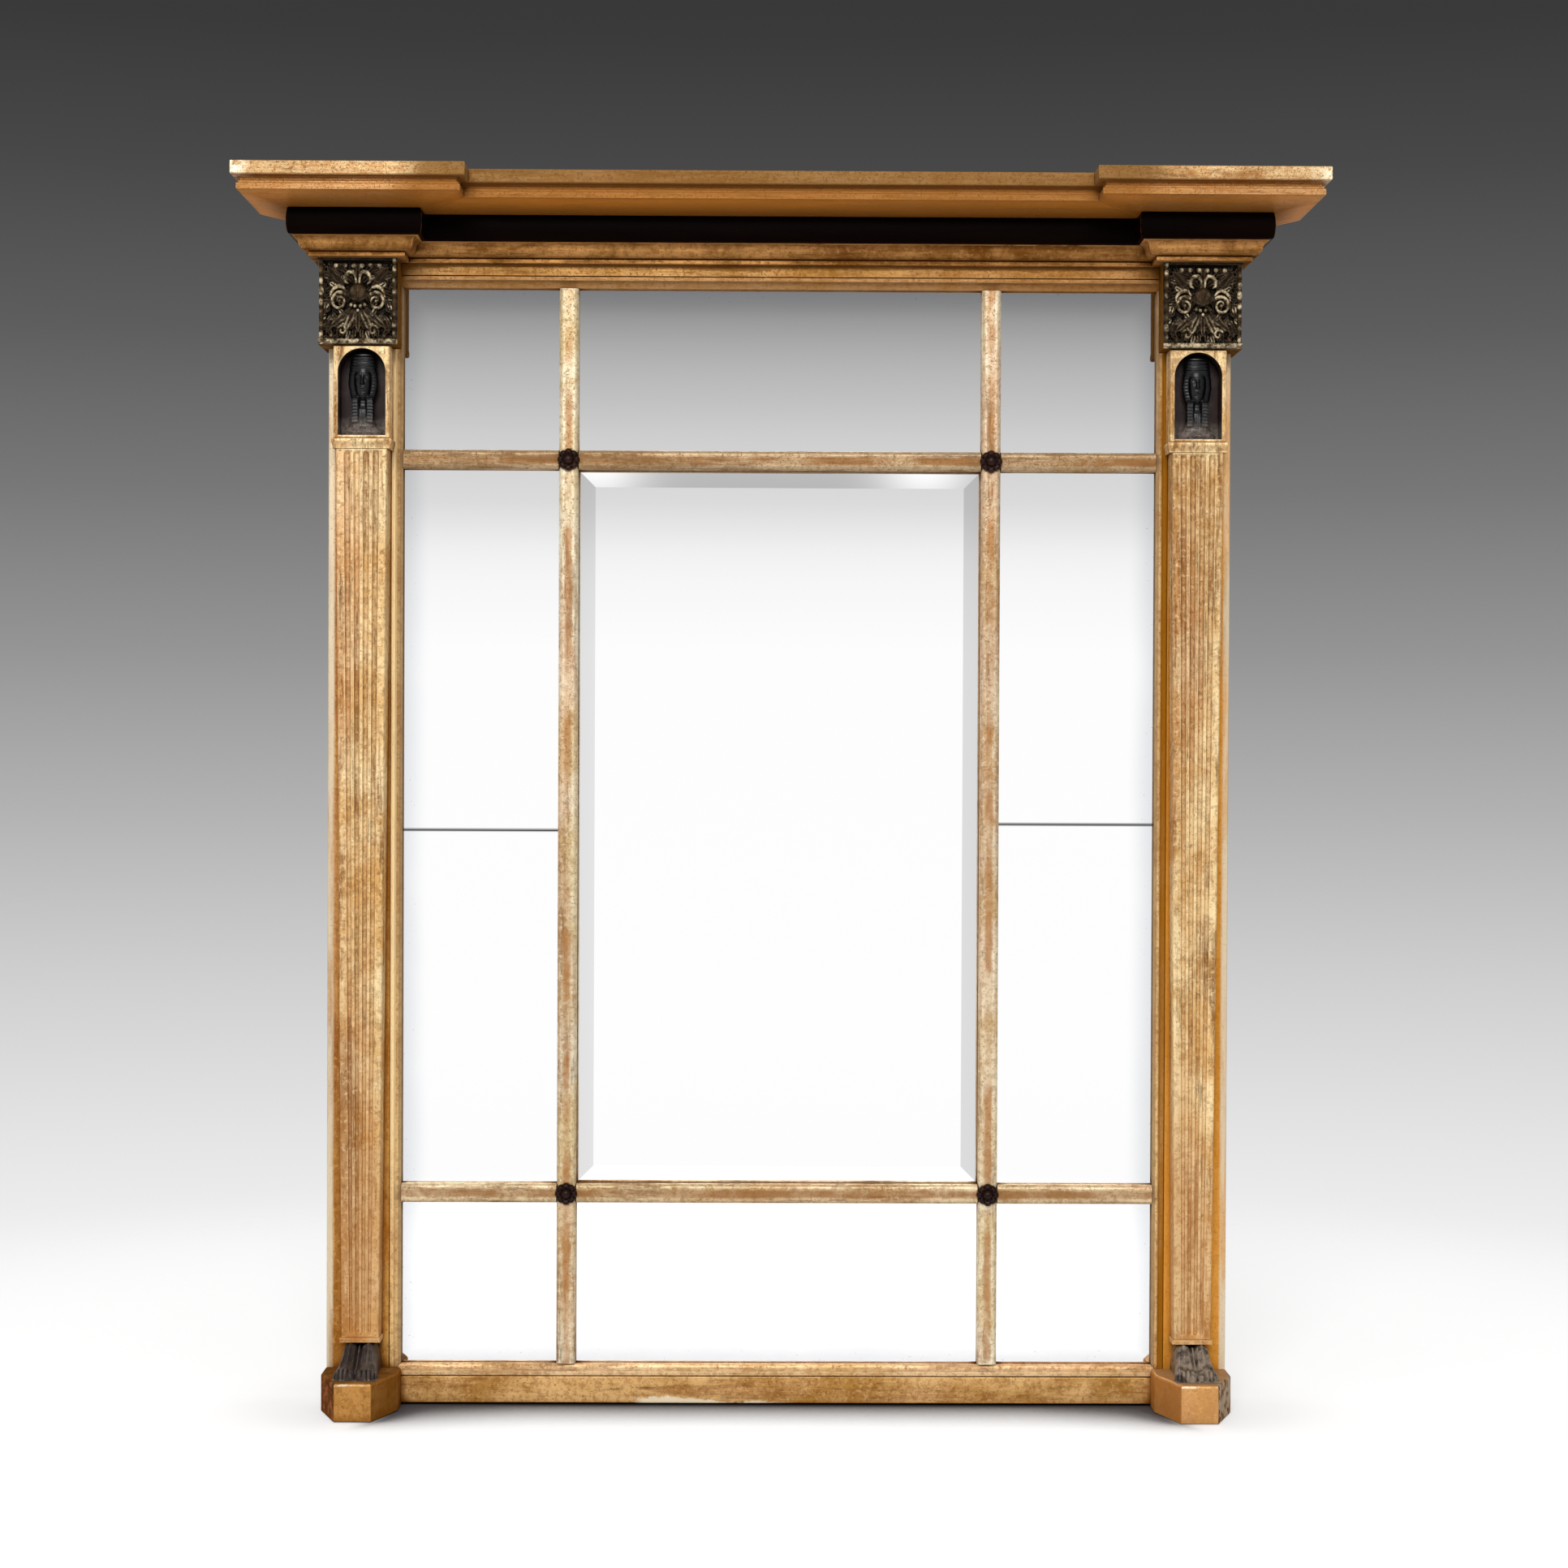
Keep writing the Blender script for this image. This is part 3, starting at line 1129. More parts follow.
def leaf_lift(x, z, root, angle, length, width, rise):
    """A pointed leaf with a sunk midrib and scalloped lobes."""
    dx, dz = x - root[0], z - root[1]
    along = (dx * math.cos(angle) + dz * math.sin(angle)) / length
    across = (-dx * math.sin(angle) + dz * math.cos(angle)) / width
    body = np.clip(np.sin(np.pi * np.clip(along, 0, 1) ** 0.8), 0, 1) ** 0.75
    lobed = body * (0.84 + 0.16 * np.abs(np.cos(along * 9)))
    inside = np.clip(1 - (across / np.maximum(lobed, 1e-3)) ** 2, 0, 1)
    rib = 0.42 * np.exp(-((across * 5) ** 2))
    veins = 0.1 * np.abs(np.sin((along * 10 + np.abs(across) * 4)))
    return rise * np.sqrt(inside) * (0.72 + 0.28 * np.clip(along, 0, 1)) * (1 - rib - veins) * (body > 0.02)


def beads(x, z, places, radius, rise):
    lift = np.zeros_like(x)
    for cx, cz in places:
        lift = np.maximum(
            lift, rise * np.sqrt(np.clip(1 - ((x - cx) ** 2 + (z - cz) ** 2) / radius**2, 0, 1))
        )
    return lift


def laid(panel, form, gold):
    """A form laid on the panel: where it stands highest, it brings its own share of gold."""
    lift, gilt = panel
    higher = form > lift
    return np.where(higher, form, lift), np.where(higher, gold * np.clip(form, 0, 1) ** 1.4, gilt)


def small_foliage(panel, x, v):
    """Small leaves that fill the ground between the main forms."""
    for row in range(11):
        for column in range(6):
            seed = Vector((row * 3.7, column * 5.3, 1.9))
            across = (column + 0.5 + 0.5 * noise.noise(seed)) / 6
            up = (row + 0.5 + 0.5 * noise.noise(seed * 1.7)) / 5.5 - 1
            turn = 3.0 * noise.noise(seed * 2.3) + math.atan2(up - 0.1, across)
            form = leaf_lift(x, v, (across, up), turn, 0.3, 0.105, 0.75)
            panel = laid(panel, form, 0.9 + 2.2 * noise.noise(seed * 3.1))
    return panel


def carving(u, v):
    """The panel's lift from its sunk ground and its share of gold, for places from -1 to 1."""
    x = np.abs(u)
    panel = small_foliage((np.zeros_like(u), np.zeros_like(u)), x, v)
    swelling = lambda share: 0.03 + 0.04 * np.sin(np.pi * np.clip(share * 0.9 + 0.08, 0, 1))
    tapering = lambda share: 0.068 - 0.032 * share
    # leaves from the middle, in the corners and at the sides
    for root, turn, length, width, rise, gold in (
        ((0.42, 0.42), 0.8, 0.72, 0.19, 0.85, 0.75),
        ((0.78, 0.34), 1.35, 0.5, 0.13, 0.75, 0.6),
        ((0.84, 0.16), -1.45, 0.5, 0.12, 0.75, 0.6),
        ((0.0, 0.58), 1.5708, 0.42, 0.13, 0.85, 0.6),
        ((0.68, -0.3), -1.15, 0.62, 0.16, 0.8, 0.75),
        ((0.22, -0.24), -0.66, 0.78, 0.17, 0.9, 0.9),
        ((0.08, -0.2), -1.08, 0.74, 0.16, 1.0, 1.0),
        ((0.0, -0.2), -1.5708, 0.66, 0.13, 0.95, 0.85),
    ):
        panel = laid(panel, leaf_lift(x, v, root, turn, length, width, rise), gold)
    # dark ribbed boss, over a drop of pearls
    radius = np.hypot(u, v - 0.24)
    ribs = 0.88 + 0.12 * np.cos(np.arctan2(u, v - 0.02) * 9)
    panel = laid(panel, 0.98 * np.sqrt(np.clip(1 - (radius / 0.3) ** 2, 0, 1)) * ribs, 0.12)
    panel = laid(panel, beads(x, v, [(0.08, -0.13), (0.2, -0.1), (0.0, -0.24)], 0.065, 0.95), 1.0)
    # scrolls arching over the boss
    upper = [(0.05, 0.5), (0.06, 0.68), (0.15, 0.79), (0.28, 0.77), (0.38, 0.65), (0.37, 0.52), (0.29, 0.47)]
    panel = laid(panel, stroke(x, v, upper, swelling, 1.0), 1.0)
    # ring scrolls at the sides, under a curled leaf
    ring = volute((0.54, 0.0), 2.2, 1.3, 0.25, 0.06, sense=-1)
    panel = laid(panel, stroke(x, v, ring, tapering, 1.0), 0.95)
    panel = laid(panel, beads(x, v, [(0.54, 0.0)], 0.075, 0.9), 0.8)
    curl = [(0.36, 0.28), (0.44, 0.37), (0.57, 0.4), (0.7, 0.34), (0.79, 0.22), (0.8, 0.12)]
    panel = laid(panel, stroke(x, v, curl, swelling, 0.95), 1.0)
    # small scrolls low down, and knobs along the top and the foot
    panel = laid(panel, stroke(x, v, volute((0.46, -0.78), 0.6, 0.9, 0.14, 0.03), 0.048, 0.9), 0.9)
    panel = laid(panel, beads(x, v, [(0.12, 0.95), (0.38, 0.96), (0.64, 0.95)], 0.1, 0.9), 0.9)
    return laid(panel, beads(x, v, [(0.16, -0.95), (0.78, -0.92)], 0.09, 0.8), 0.7)


def capital():
    """The carved panel on its block, with the return that runs back beside the stile."""
    step = 0.45 * MM
    width, height = CAPITAL_OUTER - CAPITAL_INNER, BED_FOOT - CAPITAL_FOOT
    columns = list(np.linspace(0, 1, round(width / step)))
    wall = (STILE_OUTER + FIT - CAPITAL_INNER) / width
    nearest = int(np.argmin([abs(share - wall) for share in columns]))
    columns[nearest] = wall
    columns.insert(nearest, wall - 1e-4)
    xs = CAPITAL_INNER + width * np.array(columns)
    zs = CAPITAL_FOOT + height * np.linspace(0, 1, round(height / step))
    x, z = np.meshgrid(xs, zs)
    border_x = np.minimum(x - CAPITAL_INNER, CAPITAL_OUTER - x)
    border_z = np.minimum(z - CAPITAL_FOOT, BED_FOOT - z)
    border = np.minimum(border_x, border_z)
    inside_x = (x - (CAPITAL_INNER + CAPITAL_OUTER) / 2) / (width / 2 - PANEL_BORDER)
    inside_z = (z - (CAPITAL_FOOT + BED_FOOT) / 2) / (height / 2 - PANEL_BORDER)
    lift, gilt = carving(inside_x, inside_z)
    lift = lift * np.clip((border - PANEL_BORDER) / (1.2 * MM) + 1, 0, 1)
    # a knobbed border at the sides, a beaded ledge at the foot and a fillet at the top
    knob = np.abs(np.sin(np.pi * (z - CAPITAL_FOOT - 4 * MM) / (9.5 * MM)))
    side_rail = np.sqrt(np.clip(1 - ((border_x - 2.6 * MM) / (2.6 * MM)) ** 2, 0, 1)) * (0.5 + 0.5 * knob)
    patches = np.array([[noise.noise(Vector((a * 90, b * 90, 7))) for a in xs] for b in zs])
    lift, gilt = laid((lift, gilt), side_rail, 0.35 * knob**2 + 0.5 + 1.2 * patches)
    foot_pearl = np.abs(np.sin(np.pi * (x - CAPITAL_INNER) / (4.7 * MM)))
    foot_rail = np.sqrt(np.clip(1 - ((z - CAPITAL_FOOT - 2.8 * MM) / (2.8 * MM)) ** 2, 0, 1)) * (
        0.84 + 0.16 * foot_pearl
    )
    lift, gilt = laid((lift, gilt), foot_rail, 1.2)
    lift, gilt = laid((lift, gilt), 0.8 * (BED_FOOT - z < 2.2 * MM), 0.35)
    rough = np.array([[noise.noise(Vector((a * 260, b * 260, 3))) for a in xs] for b in zs])
    lift = np.clip(lift * (1 + 0.1 * rough) + 0.05 * rough, 0, 1)
    front = np.stack([x, CAPITAL_FACE + PANEL_SINK * (1 - lift), z], axis=-1)
    back = lambda column: RETURN_BACK if xs[column] >= STILE_OUTER + FIT - 1e-7 else FACE - FIT
    corners, faces = relief_block(front, back)
    painted = [0] * ((len(zs) - 1) * (len(xs) - 1)) + [1] * (len(faces) - (len(zs) - 1) * (len(xs) - 1))
    both_sides("capital", (corners, faces), [CARVED, CHEEK_GILT], 50, painted)
    for side in ("right", "left"):
        mesh = bpy.data.objects[f"capital_{side}_shaped"].data
        for label, shares in (("gold_left", gilt), ("carved_height", lift)):
            attribute = mesh.attributes.new(label, "FLOAT", "POINT")
            values = np.zeros(len(mesh.vertices), np.float32)
            values[: shares.size] = shares.reshape(-1)
            attribute.data.foreach_set("value", values)


capital()


# ---------------------------------------------------------------- herm pilasters


def pilaster_plan(half, face):
    return [
        (PILASTER_X - half, FACE - FIT), (PILASTER_X - half, face), (PILASTER_X + half, face),
        (PILASTER_X + half, FACE - FIT),
    ]


def shaft_at(height):
    """Half the shaft's width, and its face, between its foot and the ledge."""
    share = (height - HEM_FOOT) / (LEDGE_FOOT - HEM_FOOT)
    half = (SHAFT_FOOT_WIDTH + (SHAFT_TOP_WIDTH - SHAFT_FOOT_WIDTH) * share) / 2
    return half, SHAFT_FACE + SHAFT_FOOT_SET_BACK * (1 - share)


def shaft():
    """The tapering shaft: rounded arrises, and round-ended flutes that draw together downwards."""
    low, high = HEM_FOOT + FIT, LEDGE_FOOT - FIT
    foot, top = HEM_FOOT + HEM_HEIGHT + FLUTE_STOP, LEDGE_FOOT - FLUTE_STOP
    heights = [low, low + 2 * MM, *np.linspace(foot - 9 * MM, foot + 3 * MM, 16)]
    heights += list(np.linspace(foot + 8 * MM, top - 8 * MM, 92))
    heights += [*np.linspace(top - 3 * MM, top + 9 * MM, 16), high - 0.01 * MM, high]
    heights = sorted(set(round(float(h), 7) for h in heights if low <= h <= high))
    ease = [(0, 1.5), (0.1, 0.9), (0.45, 0.4), (0.95, 0.1), (1.6, 0), (2.4, 0)]
    front = []
    for height in heights:
        half, face = shaft_at(height)
        pitch = (2 * (half - FLUTE_MARGIN) + FLUTE_LAND) / FLUTE_COUNT
        chord = pitch - FLUTE_LAND
        radius = chord * chord / (8 * FLUTE_DEPTH) + FLUTE_DEPTH / 2
        beyond = max(0, foot - height, height - top)
        row = [(-half + across * MM, back * MM) for across, back in ease]
        for number in range(FLUTE_COUNT):
            middle = -half + FLUTE_MARGIN + chord / 2 + number * pitch
            for share in (-1.12, -1.0, -0.93, -0.75, -0.5, -0.25, 0, 0.25, 0.5, 0.75, 0.93, 1.0, 1.12):
                away = share * chord / 2
                room = radius**2 - away**2 - beyond**2
                sunk = max(0, math.sqrt(max(room, 0)) - (radius - FLUTE_DEPTH))
                row.append((middle + away, sunk))
        row += [(half - across * MM, back * MM) for across, back in reversed(ease)]
        sink = [hand_wobble((x * 3, 0, height), 9, 0.5 * MM) for x, _ in row]
        front.append([(PILASTER_X + x, face + back + s, height) for (x, back), s in zip(row, sink)])
    block = relief_block(np.array(front), lambda column: FACE - FIT)
    half, face = shaft_at(HEM_FOOT)
    outer = pilaster_plan(half + HEM_PROJECTION, face - HEM_PROJECTION)
    inner = pilaster_plan(half + 0.3 * MM, face - 0.3 * MM)
    rounded = [(0, inner), (0.4, outer), (HEM_HEIGHT / MM - 1.2, outer), (HEM_HEIGHT / MM - 0.3, inner)]
    outlines = [(eased(plan, 1.2 * MM, 3), HEM_FOOT + FIT + rise * MM) for rise, plan in rounded]
    return several([block, layered(outlines)])


def arch_outline(half, foot, spring, reach, count):
    """An arched outline of evenly numbered points, from the middle of its foot anticlockwise."""
    side = count // 6
    straight = np.linspace(0, 1, side, endpoint=False)
    turns = np.linspace(0, math.pi, count - 4 * side, endpoint=False)
    points = [(half * t, foot) for t in straight]
    points += [(half, foot + (spring - foot) * t) for t in straight]
    points += [(reach * math.cos(a), spring + reach * math.sin(a)) for a in turns]
    points += [(-half, spring - (spring - foot) * t) for t in straight]
    points += [(-half * (1 - t), foot) for t in straight]
    return points


def square_outline(half, foot, top, arch):
    """Where each point of the arch meets the block's edge, drawn straight out from its middle."""
    middle = (foot + top) / 2
    points = []
    for x, z in arch:
        dx, dz = x, z - middle
        scale = min(
            half / max(abs(dx), 1e-9), ((top - middle) if dz > 0 else (middle - foot)) / max(abs(dz), 1e-9)
        )
        points.append((dx * scale, middle + dz * scale))
    for corner in ((half, foot), (half, top), (-half, top), (-half, foot)):
        nearest = min(range(len(points)), key=lambda i: math.dist(points[i], corner))
        points[nearest] = corner
    return points


def niche_block():
    """The arched niche in its block, over a moulded ledge."""
    top = CAPITAL_FOOT - FIT
    radius = NICHE_WIDTH / 2
    spring = top - NICHE_TOP_WALL - radius
    arch = arch_outline(radius, NICHE_FOOT, spring, radius, ARCH_POINTS)
    square = square_outline(NICHE_HALF, NICHE_BLOCK_FOOT, top, arch)
    shrink = lambda outline, by: [
        (
            x - math.copysign(min(by, abs(x)), x), z - math.copysign(by, z - (NICHE_FOOT + top) / 2)
        ) for x, z in outline
    ]
    grown = arch_outline(radius + 0.7 * MM, NICHE_FOOT - 0.7 * MM, spring, radius + 0.7 * MM, ARCH_POINTS)
    loops = [
        (square, FACE - FIT),
        (square, SHAFT_FACE + 0.9 * MM),
        (shrink(square, 0.25 * MM), SHAFT_FACE + 0.3 * MM),
        (shrink(square, 0.8 * MM), SHAFT_FACE),
        (grown, SHAFT_FACE),
        (
            arch_outline(radius + 0.2 * MM, NICHE_FOOT - 0.2 * MM, spring, radius + 0.2 * MM, ARCH_POINTS),
            SHAFT_FACE + 0.25 * MM,
        ),
        (arch, SHAFT_FACE + 0.8 * MM),
        (arch, NICHE_BACK - 0.8 * MM),
        (
            arch_outline(radius - 0.8 * MM, NICHE_FOOT + 0.8 * MM, spring, radius - 0.8 * MM, ARCH_POINTS),
            NICHE_BACK,
        ),
    ]
    rings = [[(PILASTER_X + x, depth, z) for x, z in outline] for outline, depth in loops]
    block = skin(rings)
    lined = [1 if index >= 6 * ARCH_POINTS else 0 for index in range(8 * ARCH_POINTS)] + [0, 1]
    ledge_half, ledge_face = NICHE_HALF + LEDGE_PROJECTION, NICHE_BLOCK_LOW.y
    steps = [
        (0, 1.6),
        (0.35, 1.25),
        (2.2, 1.2),
        (3.2, 1.0),
        (4.4, 0.55),
        (5.3, 0.3),
        (5.7, 0.05),
        (6.4, 0),
        (8.2, 0),
        (8.9, 0.35),
        (9.0, 1.2),
    ]
    outlines = []
    for rise, inset in steps:
        plan = pilaster_plan(ledge_half - inset * MM, ledge_face + inset * MM)
        outlines.append((eased(plan, 1.0 * MM, 3), LEDGE_FOOT + rise * MM))
    ledge = layered(outlines)
    corners, faces = several([block, ledge])
    both_sides(
        "niche_block", (corners, faces), [SHAFT_GILT, NICHE_DARK], 40, lined + [0] * len(ledge[1])
    )


both_sides("shaft", shaft(), SHAFT_GILT)
niche_block()


def reach_of(angle, centre, half_x, half_y):
    """How far an ellipse, set forward or back by centre, stands from the axis in a direction."""
    sx, sy = math.sin(angle), math.cos(angle)
    a = (sx / half_x) ** 2 + (sy / half_y) ** 2
    b = -2 * sy * centre / half_y**2
    c = (centre / half_y) ** 2 - 1
    room = b * b - 4 * a * c
    return (-b + math.sqrt(room)) / (2 * a) if room > 0 else 0.0


def between(stations, share):
    """Values between stations of (share, value, ...), eased."""
    for (s0, *v0), (s1, *v1) in zip(stations, stations[1:]):
        if share <= s1:
            t = max(0.0, (share - s0) / max(s1 - s0, 1e-9))
            t = t * t * (3 - 2 * t) * 0.5 + t * 0.5
            return [a + (b - a) * t for a, b in zip(v0, v1)]
    return list(stations[-1][1:])


def hump(value, middle, spread):
    return math.exp(-(((value - middle) / spread) ** 2))


def lappet_reach(angle, share):
    """How far the two flat bands of the kerchief stand over the chest, in millimetres."""
    foot, top = LAPPET_SPAN
    if not foot < share < top or abs(angle) > 1.3:
        return 0.0
    fade = min(1, (share - foot) / 0.02, (top - share) / 0.05)
    plane = 4.4 + (2.5 + 0.2 * math.sin(share * 2 * math.pi * KERCHIEF_STRIPES)) * fade
    across = plane * math.tan(abs(angle))
    if across < 3.9:
        return 0.0
    return plane / math.cos(angle) if across < 9.2 else 9.2 / math.sin(abs(angle))


# small forms of the face: lift, place and spread to each side in mm, and height and its spread as shares
FACE_FORMS = (
    (0.7, 1.25, 0.7, 0.618, 0.012),  # nostril
    (-1.15, 3.1, 1.5, 0.695, 0.022),  # eye socket
    (0.75, 3.1, 1.15, 0.69, 0.012),  # eyeball
    (-0.28, 3.1, 1.4, 0.6905, 0.0035),  # parted lids
    (0.6, 3.2, 2.2, 0.732, 0.012),  # brow
    (0.7, 0, 2.0, 0.568, 0.009),  # upper lip
    (0.75, 0, 1.7, 0.541, 0.01),  # lower lip
    (-0.7, 0, 2.3, 0.5545, 0.0045),  # mouth
    (-0.35, 0, 2.2, 0.515, 0.012),  # under the lip
    (0.7, 0, 2.3, 0.48, 0.022),  # chin
    (0.35, 5.0, 2.0, 0.63, 0.035),  # cheekbone
)
NOSE_RIDGE = [(0.4, 0.0), (0.6, 0.0), (0.617, 1.0), (0.64, 0.75), (0.71, 0.25), (0.75, 0.0)]


def bust():
    """A calm, plain head in a striped kerchief with two lappets, on a draped bust with a collar."""
    low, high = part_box("herm_bust_right")
    height = high.z - low.z
    back = high.y
    axis = back - 8.6 * MM
    centre_x = (low.x + high.x) / 2
    # share of the height, half width, reach to the front, in millimetres
    body = [
        (0, 17.0, 7.4), (0.045, 17.2, 7.8), (0.06, 16.0, 7.2), (0.12, 12.4, 6.4), (0.2, 10.2, 6.2),
        (0.3, 9.4, 5.4),
    ]
    body += [(0.36, 8.4, 3.6), (0.42, 5.6, 2.6), (0.6, 5.2, 2.4), (1.0, 4.0, 1.5)]
    cloth = [
        (0.2, 3.5, 1.0), (0.3, 9.0, 3.0), (0.42, 9.8, 3.4), (0.5, 11.6, 3.0), (0.62, 13.2, 2.8),
        (0.72, 12.8, 3.4),
    ]
    cloth += [(0.8, 11.9, 5.6), (0.87, 11.5, 6.0), (0.93, 10.8, 5.2), (0.975, 9.6, 3.6), (1.0, 7.2, 1.0)]
    face = [
        (0.4, 2.0, 1.0), (0.435, 4.2, 5.0), (0.46, 5.5, 6.5), (0.5, 6.7, 6.9), (0.56, 7.6, 7.0),
        (0.64, 8.2, 7.0),
    ]
    face += [(0.72, 8.3, 6.7), (0.78, 8.0, 6.2), (0.86, 6.8, 4.2), (0.9, 4.0, 1.0)]
    count, levels = 144, 190
    rings = []
    for level in range(levels + 1):
        share = level / levels
        ring = []
        for k in range(count):
            angle = 2 * math.pi * (k / count) - math.pi
            front_share = max(0.0, math.cos(angle))
            half, fore = between(body, share)
            reach = reach_of(angle, 0, half, max(fore, 0.5) if abs(angle) < math.pi / 2 else BUST_BACK_REACH)
            folds = 0.35 * front_share * math.sin(angle * 22) * hump(share, 0.2, 0.06)
            reach += folds
            for row in (0.035, 0.085):
                pearls = 0.5 + 0.5 * math.cos(angle * 30)
                reach += (0.5 + 0.45 * pearls) * front_share * hump(share, row, 0.014)
            half, fore = between(cloth, share)
            if share > 0.2:
                wrap = reach_of(
                    angle, 0, half, max(fore, 0.4) if abs(angle) < math.pi / 2 else BUST_BACK_REACH
                )
                stripes = 0.22 * math.sin(share * 2 * math.pi * KERCHIEF_STRIPES)
                reach = max(reach, wrap + stripes)
            reach = max(reach, lappet_reach(angle, share))
            band = hump(share, 0.815, 0.018) * front_share**0.3
            reach += 0.85 * band
            if 0.4 < share < 0.9 and abs(angle) < 1.5:
                half, fore = between(face, share)
                skull = reach_of(angle, 0, half, fore)
                x = skull * math.sin(angle)
                skull += 2.5 * hump(x, 0, 0.95) * between(NOSE_RIDGE, share)[0]
                for lift, away, spread, level, soft in FACE_FORMS:
                    skull += lift * hump(abs(x), away, spread) * hump(share, level, soft)
                reach = max(reach, skull) if share < 0.8 else reach
            reach = max(reach, 0.4)
            y = axis - reach * MM * math.cos(angle)
            ring.append(
                (centre_x + reach * MM * math.sin(angle), min(max(y, low.y), back), low.z + share * height)
            )
        rings.append(ring)
    return skin(rings)


# heights of a foot from heel to toes, and its widths against the ankle; shares of its length come first
FOOT_RISE = [
    (0, 1.0), (0.06, 1.0), (0.2, 0.82), (0.42, 0.56), (0.64, 0.4), (0.8, 0.32), (0.92, 0.27), (1.0, 0.2)
]
FOOT_WIDTHS = ((0, 1), (0.25, 0.98), (0.6, 1.12), (0.82, 1.2), (1, 1.12))
# toes from the great toe outwards: place across, half width and length, as shares
TOES = [(-0.66, 0.36, 1.0), (-0.14, 0.21, 0.985), (0.24, 0.19, 0.95), (0.56, 0.17, 0.9), (0.83, 0.15, 0.83)]
FOLD_LENGTH = 0.86


def foot_lift(u, along):
    """A foot's height over the plinth, as a share, across it (u) and along it."""
    return between(FOOT_RISE, along)[0] * math.sqrt(max(0.0, 1 - abs(u) ** 2.6))


def feet():
    """Two bare feet side by side, their toes over the plinth's front, with a fold of the gown between."""
    heel, toe_line = FACE - FIT, FEET_LOW.y
    half, face = shaft_at(HEM_FOOT)
    base = PLINTH_TOP + FIT
    rise = HEM_FOOT - FIT - base
    ankle = half / 2 + 0.5 * MM
    shown = face - toe_line
    rings_by_foot = []
    widths = [(share, ankle / MM * wide) for share, wide in FOOT_WIDTHS]
    for side in (-1, 1):
        rings = []
        depths = [heel, face + 1 * MM, *np.linspace(face, face - shown, 74)]
        for depth in depths:
            along = min(max((face - depth) / shown, 0), 1)
            middle = side * (half / 2 + (-0.4 + 2.0 * along) * MM)
            wide = between(widths, along)[0]
            ring = []
            for k in range(60):
                angle = math.pi * k / 59
                u = math.cos(angle)
                inward = -u * side
                lift = foot_lift(u, along)
                toe = 0.0
                end = 0.8
                for place, reach, length in TOES:
                    share = (inward + place) / reach
                    if abs(share) < 1:
                        dome = math.sqrt(1 - share * share)
                        toe = max(toe, dome)
                        end = max(end, length * (0.93 + 0.07 * dome))
                if along > 0.72:
                    mixed_in = min(1, (along - 0.72) / 0.1)
                    lift *= 1 - mixed_in * (1 - (0.45 + 0.75 * toe))
                tendon = 0.09 * math.cos(inward * 11) * hump(along, 0.4, 0.3)
                lift = lift * (1 + tendon)
                if along > end - 0.07:
                    lift *= math.sqrt(max(0.0, 1 - ((along - end + 0.07) / 0.07) ** 2)) if along < end else 0
                ring.append(
                    (PILASTER_X + middle + wide * MM * u, depth, base + max(lift, 0) * rise + 0.02 * MM)
                )
            ring.append((PILASTER_X + middle - wide * MM * 0.99, depth, base))
            ring.append((PILASTER_X + middle + wide * MM * 0.99, depth, base))
            rings.append(ring)
        rings_by_foot.append(skin(rings))
    folds = []
    for depth in [heel, face + 1 * MM, *np.linspace(face, face - FOLD_LENGTH * shown, 40)]:
        along = min(max((face - depth) / (FOLD_LENGTH * shown), 0), 1)
        ring = []
        for k in range(25):
            u = -1 + k / 12
            pleat = 0.93 + 0.07 * math.cos(u * 3 * math.pi)
            lift = foot_lift(u, along) * pleat * (
                1 if along < 0.9 else math.sqrt(max(0.0, 1 - ((along - 0.9) / 0.1) ** 2))
            )
            ring.append(
                (PILASTER_X - (5.4 - 1.2 * along) * MM * u, depth, base + 0.94 * lift * rise + 0.02 * MM)
            )
        half_fold = (5.4 - 1.2 * along) * 0.99 * MM
        ring.append((PILASTER_X - half_fold, depth, base))
        ring.append((PILASTER_X + half_fold, depth, base))
        folds.append(ring)
    rings_by_foot.append(skin(folds))
    return several(rings_by_foot)


both_sides("herm_bust", bust(), BRONZED, crease=70)
both_sides("herm_feet", feet(), FEET_BRONZE, crease=70)


# ---------------------------------------------------------------- back of the mirror


def ring_piece(side):
    """The D-shaped hanging ring, round in section."""
    low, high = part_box(f"hanger_ring_{side}")
    centre_x, axis_y = (low.x + high.x) / 2, (low.y + high.y) / 2
    wire = (high.y - low.y) / 2
    half = (high.x - low.x) / 2 - wire
    hinge = high.z - wire
    drop = hinge - low.z - wire
    corner = 3 * MM
    path = arc((half - corner, -corner), corner, corner, math.pi / 2, 0, 6)
    path += arc((0, -corner), half, drop - corner, -0.12, -math.pi + 0.12, 40)
    path += arc((-half + corner, -corner), corner, corner, math.pi, math.pi / 2, 6)
    path += [(-half + corner + (2 * (half - corner)) * t, 0) for t in (0.25, 0.5, 0.75)]
    loops = []
    for i, here in enumerate(path):
        before, after = Vector(path[i - 1]), Vector(path[(i + 1) % len(path)])
        along = (after - before).normalized()
        loop = []
        for k in range(16):
            angle = 2 * math.pi * k / 16
            across = wire * math.cos(angle)
            x = centre_x + here[0] + along.y * across
            z = hinge + here[1] - along.x * across
            loop.append((x, axis_y + wire * math.sin(angle), z))
        loops.append(loop)
    shape, node = skin(loops, capped=False, closed=True), f"hanger_ring_{side}"
    make_piece(f"{node}_shaped", shape, IRON, [node], body=f"ring_{side}", crease=80)


